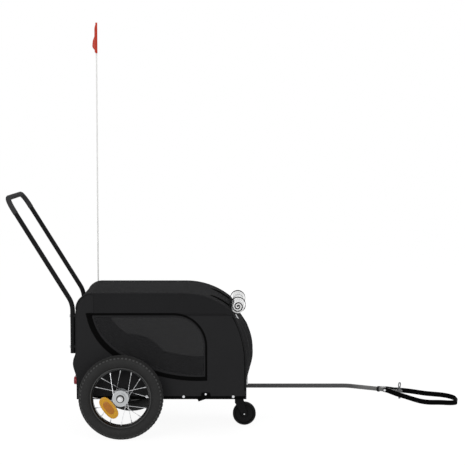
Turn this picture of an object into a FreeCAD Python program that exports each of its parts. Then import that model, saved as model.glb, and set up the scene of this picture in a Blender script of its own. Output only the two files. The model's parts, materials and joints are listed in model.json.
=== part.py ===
import FreeCAD, Part
import Sketcher
import math
import os
import re

# Dog trailer for a bicycle: +X forward, +Y to the left, +Z up, millimetres, on the ground at z = 0.
# Lengths along X are written from the wheel axle line and are positive forward.

SIZES = {
    # where the axle line lies behind the origin, and the wheels
    "axle_setback": 407.8085,
    "wheel_plane": 245,
    "tyre_radius": 150,
    "tyre_section": 23.5,
    "tyre_wall": 3,
    "bead_radius": 107.5,
    "bead_foot": 7.2,
    "bead_toe": 7.7,
    "bead_heel": 13.8,
    "rim_inner_radius": 98,
    "rim_half_width": 15.5,
    "rim_bed_half": 9,
    "rim_well_radius": 102,
    "rim_well_half": 5,
    "rim_shoulder": 3.5,
    # hub, bearings, spokes
    "hub_half": 27,
    "hub_end_radius": 19,
    "hub_waist_radius": 16,
    "hub_waist_half": 14,
    "hub_bore": 11,
    "flange_radius": 29,
    "flange_middle": 20,
    "flange_thickness": 3,
    "spoke_circle": 26,
    "spoke_pairs": 4,
    "spoke_radius": 1,
    "spoke_hole_play": 0.15,
    "spoke_standoff": 1.6,
    "spoke_head_radius": 1.8,
    "spoke_head_height": 0.8,
    "nipple_radius": 1.9,
    "nipple_length": 12,
    "bearing_radius": 14.5,
    "bearing_width": 8,
    "bearing_recess": 1,
    # quick-release axle and its button
    "axle_radius": 6,
    "axle_head_radius": 10,
    "axle_head_length": 9,
    "axle_head_gap": 0.3,
    "axle_root": 198,
    "running_play": 0.05,
    "button_radius": 6,
    "button_length": 6.8,
    "button_stand": 3.4,
    "button_pocket": 7,
    "button_edge": 0.8,
    # amber reflector between the spokes
    "amber_length": 83,
    "amber_width": 36,
    "amber_thickness": 9,
    "amber_orbit": 50,
    "amber_angle": 218,
    # base frame
    "rail_radius": 9,
    "rail_middle": 185,
    "rail_height": 143.5,
    "rail_inset": 4,
    "tube_wall": 1.5,
    "bore_sides": 8,
    "cross_radius": 8,
    "cross_front": 395,
    "cross_middle": 219,
    "cross_axle": 88,
    "cross_rear": -120,
    "hoop_radius": 8,
    "roof_bar_radius": 6,
    "roof_bar_rear": -80,
    "roof_bar_front": 200,
    "floor_thickness": 6,
    "floor_margin": 22,
    "floor_side_gap": 3,
    # axle plates and rail bolts
    "plate_half_length": 32,
    "plate_drop": 24,
    "plate_rise": 24,
    "plate_thickness": 5,
    "socket_radius": 11,
    "socket_reach": 217,
    "bolt_radius": 3,
    "bolt_head_radius": 5,
    "bolt_head_height": 3,
    "wire_sides": 6,
    "bolt_root": 170,
    # cabin outline, seen from the side
    "cabin_back": 161,
    "cabin_base": 134,
    "roof_height": 512,
    "roof_corner_radius": 56,
    "roof_front": 217,
    "brow_radius": 264,
    "brow_turn": 37.3,
    "crest_radius": 60,
    "crest_turn": 22.7,
    "front_radius": 369,
    # cover
    "cloth": 2,
    "cloth_gap": 0.3,
    "flap_drop": 77.5,
    "flap_seam": -99,
    "rear_crown": 10,
    "rear_crown_height": 268,
    "front_crown": 21.5,
    "front_crown_height": 276,
    "front_skirt_height": 190,
    # side window
    "window_back": -118,
    "window_front": 298,
    "window_top": 434,
    "window_corner": 110,
    "window_foot": 203,
    "window_trim": 7,
    "window_sill": 19,
    "sill_low_x": 132,
    "sill_low_z": 222.6,
    "sill_knee_x": -14,
    "sill_knee_z": 290,
    "sill_high_x": -76,
    "sill_high_z": 343,
    # rolled rain flap and straps
    "roll_radius": 25,
    "roll_half_length": 150,
    "roll_film": 2.2,
    "roll_pitch": 5,
    "roll_turns": 4,
    "roll_lean": 57.4,
    "roll_start_angle": 213,
    "strap_end_angle": -112,
    "strap_width": 20,
    "strap_thickness": 1.6,
    "strap_middle": 100,
    "strap_start_turn": 26,
    "tab_x": 297,
    "tab_z": 152,
    # reflectors on the cover
    "rear_reflector_middle": 150,
    "rear_reflector_height": 197,
    "reflector_length": 70,
    "reflector_width": 28,
    "reflector_depth": 7,
    "front_reflector_height": 167,
    # caster
    "caster_stem_x": 416,
    "caster_trail": 20,
    "caster_wheel_radius": 42.5,
    "caster_wheel_width": 24,
    "caster_axle_radius": 4,
    "caster_fork_gap": 1,
    "caster_fork_plate": 3,
    "caster_crown_gap": 5,
    "caster_crown_half": 15,
    "caster_arm_half": 10,
    "caster_hub_radius": 12,
    "caster_rim_step": 3,
    "caster_web_half": 7,
    "caster_rim_depth": 11,
    "caster_axle_head": 6,
    "caster_stem_radius": 5,
    "caster_socket_radius": 11,
    "caster_socket_foot": 101,
    "caster_plate_back": 34,
    "caster_plate_length": 54,
    "caster_plate_width": 62,
    "caster_plate_thickness": 4,
    # tow bar
    "tow_radius": 8,
    "tow_height": 110,
    "tow_root": 230,
    "tow_bend_x": 832,
    "tow_end_x": 985,
    "tow_angle": 30,
    "tow_bend_radius": 70,
    "tow_play": 0.06,
    "sleeve_radius": 11,
    "sleeve_back": 215,
    "sleeve_front": 425,
    "sleeve_web": 6,
    "tongue_length": 52,
    "tongue_width": 22,
    "tongue_thickness": 6,
    "pin_setback": 13,
    "pin_radius": 4,
    "pin_shoulder_radius": 5,
    "pin_free_length": 25,
    "pin_collar_radius": 7,
    "pin_collar_height": 5,
    "pin_ring_radius": 9,
    "pin_ring_wire": 1.6,
    "pin_neck": 6,
    "tether_radius": 1,
    "tether_root": 945,
    "tether_rise": 5,
    "tether_bend": 60,
    "tether_clip": 8,
    "knob_x": 395,
    "knob_radius": 15,
    "knob_lobe_radius": 5,
    "knob_height": 14,
    "knob_lobes": 5,
    "knob_standoff": 2,
    "knob_screw_radius": 3,
    # safety strap
    "loop_width": 18,
    "loop_thickness": 2.6,
    "loop_tab": 22,
    "loop_bolt": 15,
    "loop_knee": 1088,
    "loop_front": 1232,
    "loop_left": 150,
    "loop_right": -2,
    "loop_root_bend": 15,
    "loop_knee_bend": 120,
    "loop_front_bend": 55,
    "loop_droop": 5.1,
    # push handle
    "handle_radius": 8.5,
    "handle_x": -174,
    "handle_half_width": 185,
    "handle_foot": 302,
    "handle_knee": 474.6,
    "handle_knee_radius": 90,
    "grip_x": -404,
    "grip_height": 847,
    "handle_bend_radius": 50,
    "grip_radius": 13.5,
    "grip_arm_length": 95,
    "handle_bolt_low": 322,
    "handle_bolt_high": 431,
    "saddle_radius": 8,
    "cap_height": 4,
    # flag
    "pole_radius": 2.5,
    "pole_x": -121,
    "pole_standoff": 205.6,
    "pole_top": 1490,
    "holder_radius": 7,
    "holder_foot": 165,
    "holder_depth": 80,
    "holder_floor": 6,
    "holder_plate": 3,
    "holder_plate_height": 40,
    "pole_play": 0.3,
    "flag_hoist": 115,
    "flag_fly": 150,
    "flag_wave": 8,
    "flag_bend": 60,
    "flag_tip": 0.85,
    "flag_cloth": 1,
    "flag_sleeve": 1.2,
}

doc = FreeCAD.newDocument("bike_trailer")
sheet = doc.addObject("Spreadsheet::Sheet", "sizes")
for row, (alias, value) in enumerate(SIZES.items(), start=1):
    sheet.set(f"A{row}", alias)
    sheet.set(f"B{row}", str(value))
    sheet.setAlias(f"B{row}", alias)
doc.recompute()

Vector = FreeCAD.Vector
SIDES = {"left": 1, "right": -1}
NODES = []


def mm(alias):
    """The sheet's value of one size."""
    return float(getattr(sheet, alias))


def formula(text):
    """A formula in the sheet's names, written for an expression."""
    return re.sub(r"[a-z_]+", lambda word: "sizes." + word[0] if word[0] in SIZES else word[0], text)


def bind(thing, **formulas):
    for prop, text in formulas.items():
        thing.setExpression(prop, formula(text))


def place(thing, x="0", y="0", z="0", turn=None):
    """Put a piece at a point given from the axle line, with an optional fixed turn."""
    if turn:
        thing.Placement = FreeCAD.Placement(Vector(), FreeCAD.Rotation(*turn))
    thing.setExpression("Placement.Base.x", formula(f"{x} - axle_setback"))
    thing.setExpression("Placement.Base.y", formula(y))
    thing.setExpression("Placement.Base.z", formula(z))


TURNS = {"x": (Vector(0, 1, 0), 90), "y": (Vector(1, 0, 0), -90), "z": None}


def rod(name, radius, length, axis, x="0", y="0", z="0"):
    """A cylinder that runs along +X, +Y or +Z from a point."""
    piece = doc.addObject("Part::Cylinder", name)
    bind(piece, Radius=radius, Height=length)
    place(piece, x, y, z, TURNS[axis])
    return piece


def block(name, length, width, height, x, y, z):
    piece = doc.addObject("Part::Box", name)
    bind(piece, Length=length, Width=width, Height=height)
    place(piece, x, y, z)
    return piece


def join(name, *pieces):
    piece = doc.addObject("Part::MultiFuse", name)
    piece.Shapes = list(pieces)
    piece.Refine = True
    return piece


def cut(name, base, *tools):
    piece = doc.addObject("Part::Cut", name)
    piece.Base = base
    piece.Tool = tools[0] if len(tools) == 1 else join(name + "_cutters", *tools)
    return piece


def shaped(name, shape):
    """A piece whose form is worked out from the sheet by the functions below."""
    piece = doc.addObject("Part::Feature", name)
    piece.Shape = shape
    return piece


def node(name, piece):
    """Name a finished sub-part, which gets a file of its own."""
    piece.Label = name
    NODES.append(piece)
    return piece


def at(x, y, z):
    """A point given from the axle line."""
    return Vector(x - mm("axle_setback"), y, z)


def plane_of(body, role):
    return next(item for item in body.Origin.OriginFeatures if item.Role == role)


def sketch_on(body, name, role):
    sketch = body.newObject("Sketcher::SketchObject", name)
    sketch.AttachmentSupport = [(plane_of(body, role), "")]
    sketch.MapMode = "FlatFace"
    return sketch


def pin_point(sketch, geometry, end, x, y):
    """Hold one end of a sketch line, or a circle's centre, at a formula's place."""
    for kind, axis, text in (("DistanceX", -2, x), ("DistanceY", -1, y)):
        if text == "0":
            sketch.addConstraint(Sketcher.Constraint("PointOnObject", geometry, end, axis))
        else:
            index = sketch.addConstraint(Sketcher.Constraint(kind, -1, 1, geometry, end, 1.0))
            sketch.setExpression(f"Constraints[{index}]", formula(text))


def polygon(sketch, corners):
    """A closed outline through corners given as pairs of formulas."""
    count = len(corners)
    for index in range(count):
        start = Vector(index, index * index, 0)
        end = Vector(index + 1, (index + 1) ** 2, 0)
        sketch.addGeometry(Part.LineSegment(start, end), False)
    for index in range(count):
        sketch.addConstraint(Sketcher.Constraint("Coincident", index, 2, (index + 1) % count, 1))
    for index, (x, y) in enumerate(corners):
        pin_point(sketch, index, 1, x, y)


def circle(sketch, radius, x="0", y="0"):
    index = sketch.addGeometry(Part.Circle(Vector(1, 1, 0), Vector(0, 0, 1), 1), False)
    held = sketch.addConstraint(Sketcher.Constraint("Radius", index, 1.0))
    sketch.setExpression(f"Constraints[{held}]", formula(radius))
    pin_point(sketch, index, 3, x, y)


def turned(name, corners):
    """A body turned about its own Y axis from corners of (radius, along)."""
    body = doc.addObject("PartDesign::Body", name)
    sketch = sketch_on(body, name + "_section", "XY_Plane")
    polygon(sketch, corners)
    turning = body.newObject("PartDesign::Revolution", name + "_turning")
    turning.Profile = sketch
    turning.ReferenceAxis = (sketch, ["V_Axis"])
    turning.Angle = 360
    return body


def bent_path(corners, bends):
    """Straight runs joined at the inner corners by tangent arcs of the given radii."""
    edges = []
    start = corners[0]
    for before, corner, after, bend in zip(corners, corners[1:], corners[2:], bends):
        back = (before - corner).normalize()
        ahead = (after - corner).normalize()
        half_turn = (math.pi - back.getAngle(ahead)) / 2
        reach = bend * math.tan(half_turn)
        middle = corner + (back + ahead).normalize() * (bend / math.cos(half_turn) - bend)
        edges.append(Part.LineSegment(start, corner + back * reach).toShape())
        edges.append(Part.Arc(corner + back * reach, middle, corner + ahead * reach).toShape())
        start = corner + ahead * reach
    edges.append(Part.LineSegment(start, corners[-1]).toShape())
    return Part.Wire(edges)


def disc(centre, radius, normal, sides=0, aside=None):
    """A round face, or one with flat sides whose first corner lies towards aside."""
    if not sides:
        return Part.Face(Part.Wire([Part.makeCircle(radius, centre, normal)]))
    first = aside.normalize() * radius
    second = normal.normalize().cross(first)
    turns = [2 * math.pi * index / sides for index in range(sides + 1)]
    return Part.Face(Part.makePolygon(
        [centre + first * math.cos(turn) + second * math.sin(turn) for turn in turns]))


def swept(path, radius, sides=0):
    """A bar along a path: a straight run for each line, a turned one for each arc."""
    edges = path.OrderedEdges
    axes = [edge.Curve.Axis for edge in edges if not isinstance(edge.Curve, Part.Line)]
    aside = axes[0]
    runs = []
    for edge in edges:
        start = edge.valueAt(edge.FirstParameter)
        ahead = edge.tangentAt(edge.FirstParameter)
        if isinstance(edge.Curve, Part.Line):
            run = edge.valueAt(edge.LastParameter) - start
            runs.append(disc(start, radius, ahead, sides, Vector(aside)).extrude(run))
            continue
        aside = edge.Curve.Axis
        turn = math.degrees(edge.LastParameter - edge.FirstParameter)
        runs.append(disc(start, radius, ahead, sides, Vector(aside)).revolve(edge.Curve.Center, aside, turn))
    return runs[0].multiFuse(runs[1:]).removeSplitter()


def tube(path, radius, wall):
    """A round tube; its bore, which nothing shows, has flat sides."""
    return swept(path, radius).cut(swept(path, radius - wall, round(mm("bore_sides"))))


def bar(start, end, radius):
    return Part.makeCylinder(radius, start.distanceToPoint(end), start, end - start)


def wire_bar(start, end, radius):
    """A thin bar that repeats often, with few sides."""
    run = end - start
    aside = run.cross(Vector(0, 1, 0))
    if aside.Length < run.Length / 2:
        aside = run.cross(Vector(1, 0, 0))
    return disc(start, radius, Vector(run), round(mm("wire_sides")), aside).extrude(run)


def prism(edges, depth):
    """A closed outline in the XZ plane, made solid along Y from -depth/2 to depth/2."""
    face = Part.Face(Part.Wire(Part.sortEdges(edges)[0]))
    solid = face.extrude(Vector(0, depth, 0))
    solid.translate(Vector(0, -depth / 2, 0))
    return solid


def moved(shape, y):
    copy = shape.copy()
    copy.translate(Vector(0, y, 0))
    return copy


# Wheels: tyre, drop-centre rim, hub with drilled flanges, bearings

def mirrored(half):
    """The corners of a section whose far half repeats the near one across the wheel's plane."""
    return half + [(radius, f"-({along})") for radius, along in reversed(half)]


def tyre_corner(section, angle):
    """A corner of the tyre's section: the angle is counted from the crown towards the bead."""
    return (f"tyre_radius - tyre_section + ({section}) * cos({angle})", f"({section}) * sin({angle})")


def ring_tyre(name, plane):
    """An open-bellied air tyre: tread, shoulders, side walls and bead seats turned about the axle."""
    inside = "tyre_section - tyre_wall"
    body = turned(name, mirrored([
        ("tyre_radius", "tyre_section * sin(15)"),
        tyre_corner("tyre_section", 48),
        tyre_corner("tyre_section", 92),
        ("bead_radius", "bead_heel"),
        ("bead_radius", "bead_toe"),
        tyre_corner(inside, 92),
        tyre_corner(inside, 34),
    ]))
    place(body, "0", plane, "tyre_radius")
    return body


def rim(name, plane):
    body = turned(name, mirrored([
        ("rim_inner_radius", "rim_bed_half"),
        ("bead_radius - rim_shoulder", "rim_half_width"),
        ("bead_radius", "rim_half_width"),
        ("bead_radius", "bead_foot"),
        ("rim_well_radius", "rim_well_half"),
    ])[::-1])
    place(body, "0", plane, "tyre_radius")
    return body


def hub(name, plane):
    outer_face = "flange_middle + flange_thickness / 2"
    inner_face = "flange_middle - flange_thickness / 2"
    seat = "hub_half - bearing_recess - bearing_width"
    body = turned(name, mirrored([
        ("hub_bore", seat),
        ("bearing_radius", seat),
        ("bearing_radius", "hub_half"),
        ("hub_end_radius", "hub_half"),
        ("hub_end_radius", outer_face),
        ("flange_radius", outer_face),
        ("flange_radius", inner_face),
        ("hub_end_radius", inner_face),
        ("hub_waist_radius", "hub_waist_half"),
    ]))
    place(body, "0", plane, "tyre_radius")
    doc.recompute()
    before = body.Shape.Volume
    for label, shift, far in (("near", "0", False), ("far", "90 / spoke_pairs", True)):
        sketch = sketch_on(body, f"{name}_{label}_hole", "XZ_Plane")
        across = "0" if shift == "0" else f"spoke_circle * sin({shift})"
        circle(sketch, "spoke_radius + spoke_hole_play", f"spoke_circle * cos({shift})", across)
        hole = body.newObject("PartDesign::Pocket", f"{name}_{label}_drilling")
        hole.Profile = sketch
        bind(hole, Length="hub_half")
        hole.Reversed = far
        doc.recompute()
        pattern = body.newObject("PartDesign::PolarPattern", f"{name}_{label}_circle")
        pattern.Originals = [hole]
        pattern.Axis = (plane_of(body, "Y_Axis"), [""])
        pattern.Angle = 360
        bind(pattern, Occurrences="2 * spoke_pairs")
        body.Tip = pattern
        doc.recompute()
    if body.Shape.Volume >= before:
        raise ValueError(f"{name}: the flange holes cut nothing")
    return body


def polar(radius, angle, along):
    return Vector(radius * math.cos(angle), along, radius * math.sin(angle))


def outer_pull_start():
    """How far from the wheel's plane the spokes outside a flange set out."""
    return mm("flange_middle") + mm("flange_thickness") / 2 + mm("spoke_radius") + mm("spoke_standoff")


def laced_spokes():
    """Tangential spokes, crossed once, about the Y axis.

    Every other spoke leaves its flange on the outside, so that a crossing pair clears. Each one has
    a head, an elbow through its flange hole, and a nipple seated on the rim's bed."""
    count = 2 * round(mm("spoke_pairs"))
    step = 2 * math.pi / count
    wire = mm("spoke_radius")
    outer_face = mm("flange_middle") + mm("flange_thickness") / 2
    inner_face = mm("flange_middle") - mm("flange_thickness") / 2
    inner_start = inner_face - wire - mm("spoke_hole_play")
    bed = Part.makeCylinder(mm("rim_inner_radius"), 2 * mm("wheel_plane"),
                            Vector(0, -mm("wheel_plane"), 0), Vector(0, 1, 0))
    spokes = []
    for flange, shift in ((1, 0), (-1, step / 2)):
        for index in range(count):
            outside = index % 2 == 1
            hub_angle = index * step + shift
            rim_angle = hub_angle + (-step if outside else step)
            start = outer_pull_start() if outside else inner_start
            head = inner_face if outside else outer_face
            head_depth = -mm("spoke_head_height") if outside else mm("spoke_head_height")
            elbow = polar(mm("spoke_circle"), hub_angle, flange * start)
            seat = polar(mm("rim_inner_radius") + wire, rim_angle, 0)
            head_low = polar(mm("spoke_circle"), hub_angle, flange * head)
            head_top = polar(mm("spoke_circle"), hub_angle, flange * (head + head_depth))
            nipple = seat + (elbow - seat).normalize() * mm("nipple_length")
            bend = elbow + (elbow - head_low).normalize() * wire
            spoke = wire_bar(elbow, seat, wire).multiFuse([
                wire_bar(head_low, bend, wire),
                wire_bar(head_low, head_top, mm("spoke_head_radius")),
                wire_bar(nipple, seat, mm("nipple_radius")),
            ])
            spokes.append(spoke.common(bed).Solids[0])
    return Part.makeCompound(spokes)


def bearings(name, plane):
    rings = []
    for label, start in (("outboard", "hub_half - bearing_recess - bearing_width"),
                         ("inboard", "bearing_recess - hub_half")):
        y = f"{plane} + {start}"
        race = rod(f"{name}_{label}_race", "bearing_radius", "bearing_width", "y", "0", y, "tyre_radius")
        bore = rod(f"{name}_{label}_bore", "axle_radius + running_play", "bearing_width", "y",
                   "0", y, "tyre_radius")
        rings.append(cut(f"{name}_{label}", race, bore))
    return join(name, *rings)


def stadium(length, width, thickness):
    """A long round-ended plate: length along X, width along Y, on z = 0."""
    run = (length - width) / 2
    half = width / 2
    edges = [
        Part.LineSegment(Vector(-run, -half, 0), Vector(run, -half, 0)).toShape(),
        Part.Arc(Vector(run, -half, 0), Vector(run + half, 0, 0), Vector(run, half, 0)).toShape(),
        Part.LineSegment(Vector(run, half, 0), Vector(-run, half, 0)).toShape(),
        Part.Arc(Vector(-run, half, 0), Vector(-run - half, 0, 0), Vector(-run, -half, 0)).toShape(),
    ]
    return Part.Face(Part.Wire(edges)).extrude(Vector(0, 0, thickness))


def pull_along(radius):
    """Distance from the wheel's plane of an outside spoke where it passes a radius."""
    step = math.pi / round(mm("spoke_pairs"))
    elbow = polar(mm("spoke_circle"), 0, outer_pull_start())
    seat = polar(mm("rim_inner_radius") + mm("spoke_radius"), step, 0)
    low, high = 0.0, 1.0
    for _ in range(40):
        middle = (low + high) / 2
        point = elbow + (seat - elbow) * middle
        if math.hypot(point.x, point.z) < radius:
            low = middle
        else:
            high = middle
    return (elbow + (seat - elbow) * low).y


def amber_reflector(side):
    """The clip-on reflector, laid along the outside spokes."""
    near = mm("amber_orbit") - mm("amber_width") / 2
    far = mm("amber_orbit") + mm("amber_width") / 2
    lean = math.atan2(pull_along(near) - pull_along(far), far - near)
    lift = (pull_along(near) + pull_along(far)) / 2 + (mm("spoke_radius") + mm("cloth_gap")) / math.cos(lean)
    angle = math.radians(mm("amber_angle"))
    radial = polar(1, angle, 0)
    outward = Vector(0, side, 0)
    up = radial * math.cos(lean) - outward * math.sin(lean)
    normal = radial * math.sin(lean) + outward * math.cos(lean)
    plate = stadium(mm("amber_length"), mm("amber_width"), mm("amber_thickness"))
    plate = plate.makeChamfer(mm("amber_thickness") / 4, plate.Faces[-1].Edges)
    centre = radial * mm("amber_orbit") + outward * lift
    plate.Placement = FreeCAD.Placement(centre, FreeCAD.Rotation(up.cross(normal), up, normal, "ZXY"))
    return plate


def wheel(name, side):
    plane = f"{side} * wheel_plane"
    centre = at(0, side * mm("wheel_plane"), mm("tyre_radius"))
    node(f"{name}_tyre", ring_tyre(f"{name}_tyre", plane))
    node(f"{name}_rim", rim(f"{name}_rim", plane))
    node(f"{name}_hub", hub(f"{name}_hub", plane))
    node(f"{name}_bearings", bearings(f"{name}_bearings", plane))
    for label, shape in (("spokes", laced_spokes()), ("wheel_reflector", amber_reflector(side))):
        shape.translate(centre)
        node(f"{name}_{label}", shaped(f"{name}_{label}", shape))


def quick_axle(name, side):
    """A stub axle whose head holds the release button."""
    head = "wheel_plane + hub_half + axle_head_gap"
    pocket = "button_radius + running_play"
    stub = turned(f"{name}_axle", [(radius, f"{side} * ({along})") for radius, along in (
        ("0", "axle_root"),
        ("axle_radius", "axle_root"),
        ("axle_radius", head),
        ("axle_head_radius", head),
        ("axle_head_radius", f"{head} + axle_head_length"),
        (pocket, f"{head} + axle_head_length"),
        (pocket, f"{head} + axle_head_length - button_pocket"),
        ("0", f"{head} + axle_head_length - button_pocket"),
    )])
    place(stub, "0", "0", "tyre_radius")
    tip = f"{head} + axle_head_length + button_stand"
    button = turned(f"{name}_button", [(radius, f"{side} * ({along})") for radius, along in (
        ("0", f"{tip} - button_length"),
        ("button_radius", f"{tip} - button_length"),
        ("button_radius", f"{tip} - button_edge"),
        ("button_radius - button_edge", tip),
        ("0", tip),
    )])
    place(button, "0", "0", "tyre_radius")
    node(f"{name}_axle", stub)
    node(f"{name}_button", button)


for name, side in SIDES.items():
    wheel(name, side)
    quick_axle(name, side)

# Cabin outline and base frame

CABIN_FRONT = ("(roof_front + (brow_radius - crest_radius) * sin(brow_turn)"
               " + (crest_radius - front_radius) * sin(brow_turn + crest_turn) + front_radius)")
PANEL_IN = "(rail_middle + rail_radius + cloth_gap)"
PANEL_OUT = "(rail_middle + rail_radius + cloth_gap + cloth)"
panel_in = mm("rail_middle") + mm("rail_radius") + mm("cloth_gap")
panel_out = panel_in + mm("cloth")
level = math.radians(90)
brow_turn = math.radians(mm("brow_turn"))
crest_turn = brow_turn + math.radians(mm("crest_turn"))


def off(centre, radius, turn):
    """A point on an arc: the turn is counted from straight up, positive forward."""
    return centre + Vector(radius * math.sin(turn), 0, radius * math.cos(turn))


rear_centre = at(mm("roof_corner_radius") - mm("cabin_back"), 0,
                 mm("roof_height") - mm("roof_corner_radius"))
brow_centre = at(mm("roof_front"), 0, mm("roof_height") - mm("brow_radius"))
crest_centre = off(brow_centre, mm("brow_radius") - mm("crest_radius"), brow_turn)
front_centre = off(crest_centre, mm("crest_radius") - mm("front_radius"), crest_turn)


def arc(centre, radius, start, end):
    middle = off(centre, radius, (start + end) / 2)
    return Part.Arc(off(centre, radius, start), middle, off(centre, radius, end)).toShape()


def line(start, end):
    return Part.LineSegment(start, end).toShape()


def cabin_outline(inset, foot):
    """The side outline from the rear foot over the roof to the front foot, moved inwards.

    Every arc keeps its centre, so the runs stay tangent."""
    corner = mm("roof_corner_radius") - inset
    brow = mm("brow_radius") - inset
    crest = mm("crest_radius") - inset
    front = mm("front_radius") - inset
    rear_top = off(rear_centre, corner, -level)
    front_top = off(front_centre, front, level)
    return [
        line(Vector(rear_top.x, 0, foot), rear_top),
        arc(rear_centre, corner, -level, 0),
        line(off(rear_centre, corner, 0), off(brow_centre, brow, 0)),
        arc(brow_centre, brow, 0, brow_turn),
        arc(crest_centre, crest, brow_turn, crest_turn),
        arc(front_centre, front, crest_turn, level),
        line(front_top, Vector(front_top.x, 0, foot)),
    ]


def cabin_block(inset, depth):
    """The whole cabin outline as a slab about the middle plane."""
    edges = cabin_outline(inset, mm("cabin_base"))
    closing = line(edges[-1].lastVertex().Point, edges[0].firstVertex().Point)
    return prism(edges + [closing], depth)


def span(side, inner, outer):
    """Start and length, along Y, of a piece between two distances from the middle plane."""
    start = inner if side > 0 else f"-({outer})"
    return start, f"({outer}) - ({inner})"


bolt_play = mm("running_play")
plate_out = panel_out + mm("cloth_gap") + mm("plate_thickness")
cross_places = ("front", "middle", "axle", "rear")
panel_bolts = [(mm(f"cross_{label}"), panel_out) for label in ("front", "middle", "axle")]
plate_bolts = [(end * (mm("plate_half_length") - 2 * mm("bolt_head_radius")), plate_out) for end in (1, -1)]


def bolt_head(seat, outward):
    return wire_bar(seat, seat + outward * mm("bolt_head_height"), mm("bolt_head_radius"))


def rail_bolt(side, x, seat):
    """A hexagon bolt through a rail, its head on the outside."""
    root = at(x, side * mm("bolt_root"), mm("rail_height"))
    under_head = at(x, side * seat, mm("rail_height"))
    return bar(root, under_head, mm("bolt_radius")).fuse(bolt_head(under_head, Vector(0, side, 0)))


def rail_drills(side):
    """The bolt holes through a rail and what is bolted on it."""
    holes = []
    for x, seat in panel_bolts + plate_bolts:
        start = at(x, side * (mm("rail_middle") - 2 * mm("rail_radius")), mm("rail_height"))
        end = at(x, side * (seat + mm("rail_radius")), mm("rail_height"))
        holes.append(bar(start, end, mm("bolt_radius") + bolt_play))
    return Part.makeCompound(holes)


hoop_inset = mm("cloth") + mm("cloth_gap") + mm("hoop_radius")
hoop_path = Part.Wire(cabin_outline(hoop_inset, mm("rail_height")))
rail_length = f"{CABIN_FRONT} + cabin_back - 2 * rail_inset"
rail_bars = []
hoop_bars = []
for name, side in SIDES.items():
    y = f"{side} * rail_middle"
    start = "rail_inset - cabin_back"
    solid = rod(f"{name}_rail_bar", "rail_radius", rail_length, "x", start, y, "rail_height")
    inside = rod(f"{name}_rail_inside", "rail_radius - tube_wall", rail_length, "x", start, y, "rail_height")
    drills = shaped(f"{name}_rail_drills", rail_drills(side))
    node(f"{name}_rail", cut(f"{name}_rail", solid, inside, drills))
    rail_bars.append(solid)
    hoop_bars.append(shaped(f"{name}_hoop_bar", moved(swept(hoop_path, mm("hoop_radius")),
                                                      side * mm("rail_middle"))))

for label in cross_places:
    name = f"{label}_cross_tube"
    solid = rod(f"{name}_bar", "cross_radius", "2 * rail_middle", "y",
                f"cross_{label}", "-rail_middle", "rail_height")
    inside = rod(f"{name}_inside", "cross_radius - tube_wall", "2 * rail_middle", "y",
                 f"cross_{label}", "-rail_middle", "rail_height")
    node(name, cut(name, solid, inside, *rail_bars))

for label in ("front", "rear"):
    name = f"{label}_roof_bar"
    height = "roof_height - cloth - cloth_gap - hoop_radius"
    solid = rod(f"{name}_bar", "roof_bar_radius", "2 * rail_middle", "y",
                f"roof_bar_{label}", "-rail_middle", height)
    inside = rod(f"{name}_inside", "roof_bar_radius - tube_wall", "2 * rail_middle", "y",
                 f"roof_bar_{label}", "-rail_middle", height)
    node(name, cut(name, solid, inside, *hoop_bars))

FLOOR_HALF = "(rail_middle - rail_radius - floor_side_gap)"
node("floor_board", block(
    "floor_board", f"{CABIN_FRONT} + cabin_back - 2 * floor_margin", f"2 * {FLOOR_HALF}",
    "floor_thickness", "floor_margin - cabin_back", f"-{FLOOR_HALF}", "rail_height + cross_radius"))

for name, side in SIDES.items():
    y, width = span(side, f"{PANEL_OUT} + cloth_gap", f"{PANEL_OUT} + cloth_gap + plate_thickness")
    plate = block(f"{name}_axle_plate_flat", "2 * plate_half_length", width, "plate_drop + plate_rise",
                  "-plate_half_length", y, "tyre_radius - plate_drop")
    y, width = span(side, f"{PANEL_OUT} + cloth_gap", "socket_reach")
    socket = rod(f"{name}_axle_plate_socket", "socket_radius", width, "y", "0", y, "tyre_radius")
    bore = rod(f"{name}_axle_plate_bore", "axle_radius + running_play", width, "y", "0", y, "tyre_radius")
    drills = shaped(f"{name}_axle_plate_drills", rail_drills(side))
    node(f"{name}_axle_plate", cut(f"{name}_axle_plate", join(f"{name}_axle_plate_body", plate, socket),
                                   bore, drills))

node("rail_bolts", shaped("rail_bolts", Part.makeCompound(
    [rail_bolt(side, x, seat) for side in SIDES.values() for x, seat in panel_bolts + plate_bolts])))

# Push handle: bent tube, foam grip, bolts through to the hoops, saddles, end caps

def handle_corner(side, x, z):
    return at(mm(x), side * mm("handle_half_width"), mm(z))


arm = (handle_corner(1, "handle_x", "handle_knee") - handle_corner(1, "grip_x", "grip_height")).normalize()
handle_bends = [mm("handle_knee_radius"), mm("handle_bend_radius")]
handle_path = bent_path(
    [handle_corner(1, "handle_x", "handle_foot"), handle_corner(1, "handle_x", "handle_knee"),
     handle_corner(1, "grip_x", "grip_height"), handle_corner(-1, "grip_x", "grip_height"),
     handle_corner(-1, "handle_x", "handle_knee"), handle_corner(-1, "handle_x", "handle_foot")],
    handle_bends + handle_bends[::-1])
grip_path = bent_path(
    [handle_corner(1, "grip_x", "grip_height") + arm * mm("grip_arm_length"),
     handle_corner(1, "grip_x", "grip_height"), handle_corner(-1, "grip_x", "grip_height"),
     handle_corner(-1, "grip_x", "grip_height") + arm * mm("grip_arm_length")],
    handle_bends[1:] * 2)
hoop_leg = hoop_inset - mm("cabin_back")


def handle_bolt_line(side, z, radius, start, end):
    y = side * mm("handle_half_width")
    return bar(at(start, y, z), at(end, y, z), radius)


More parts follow.
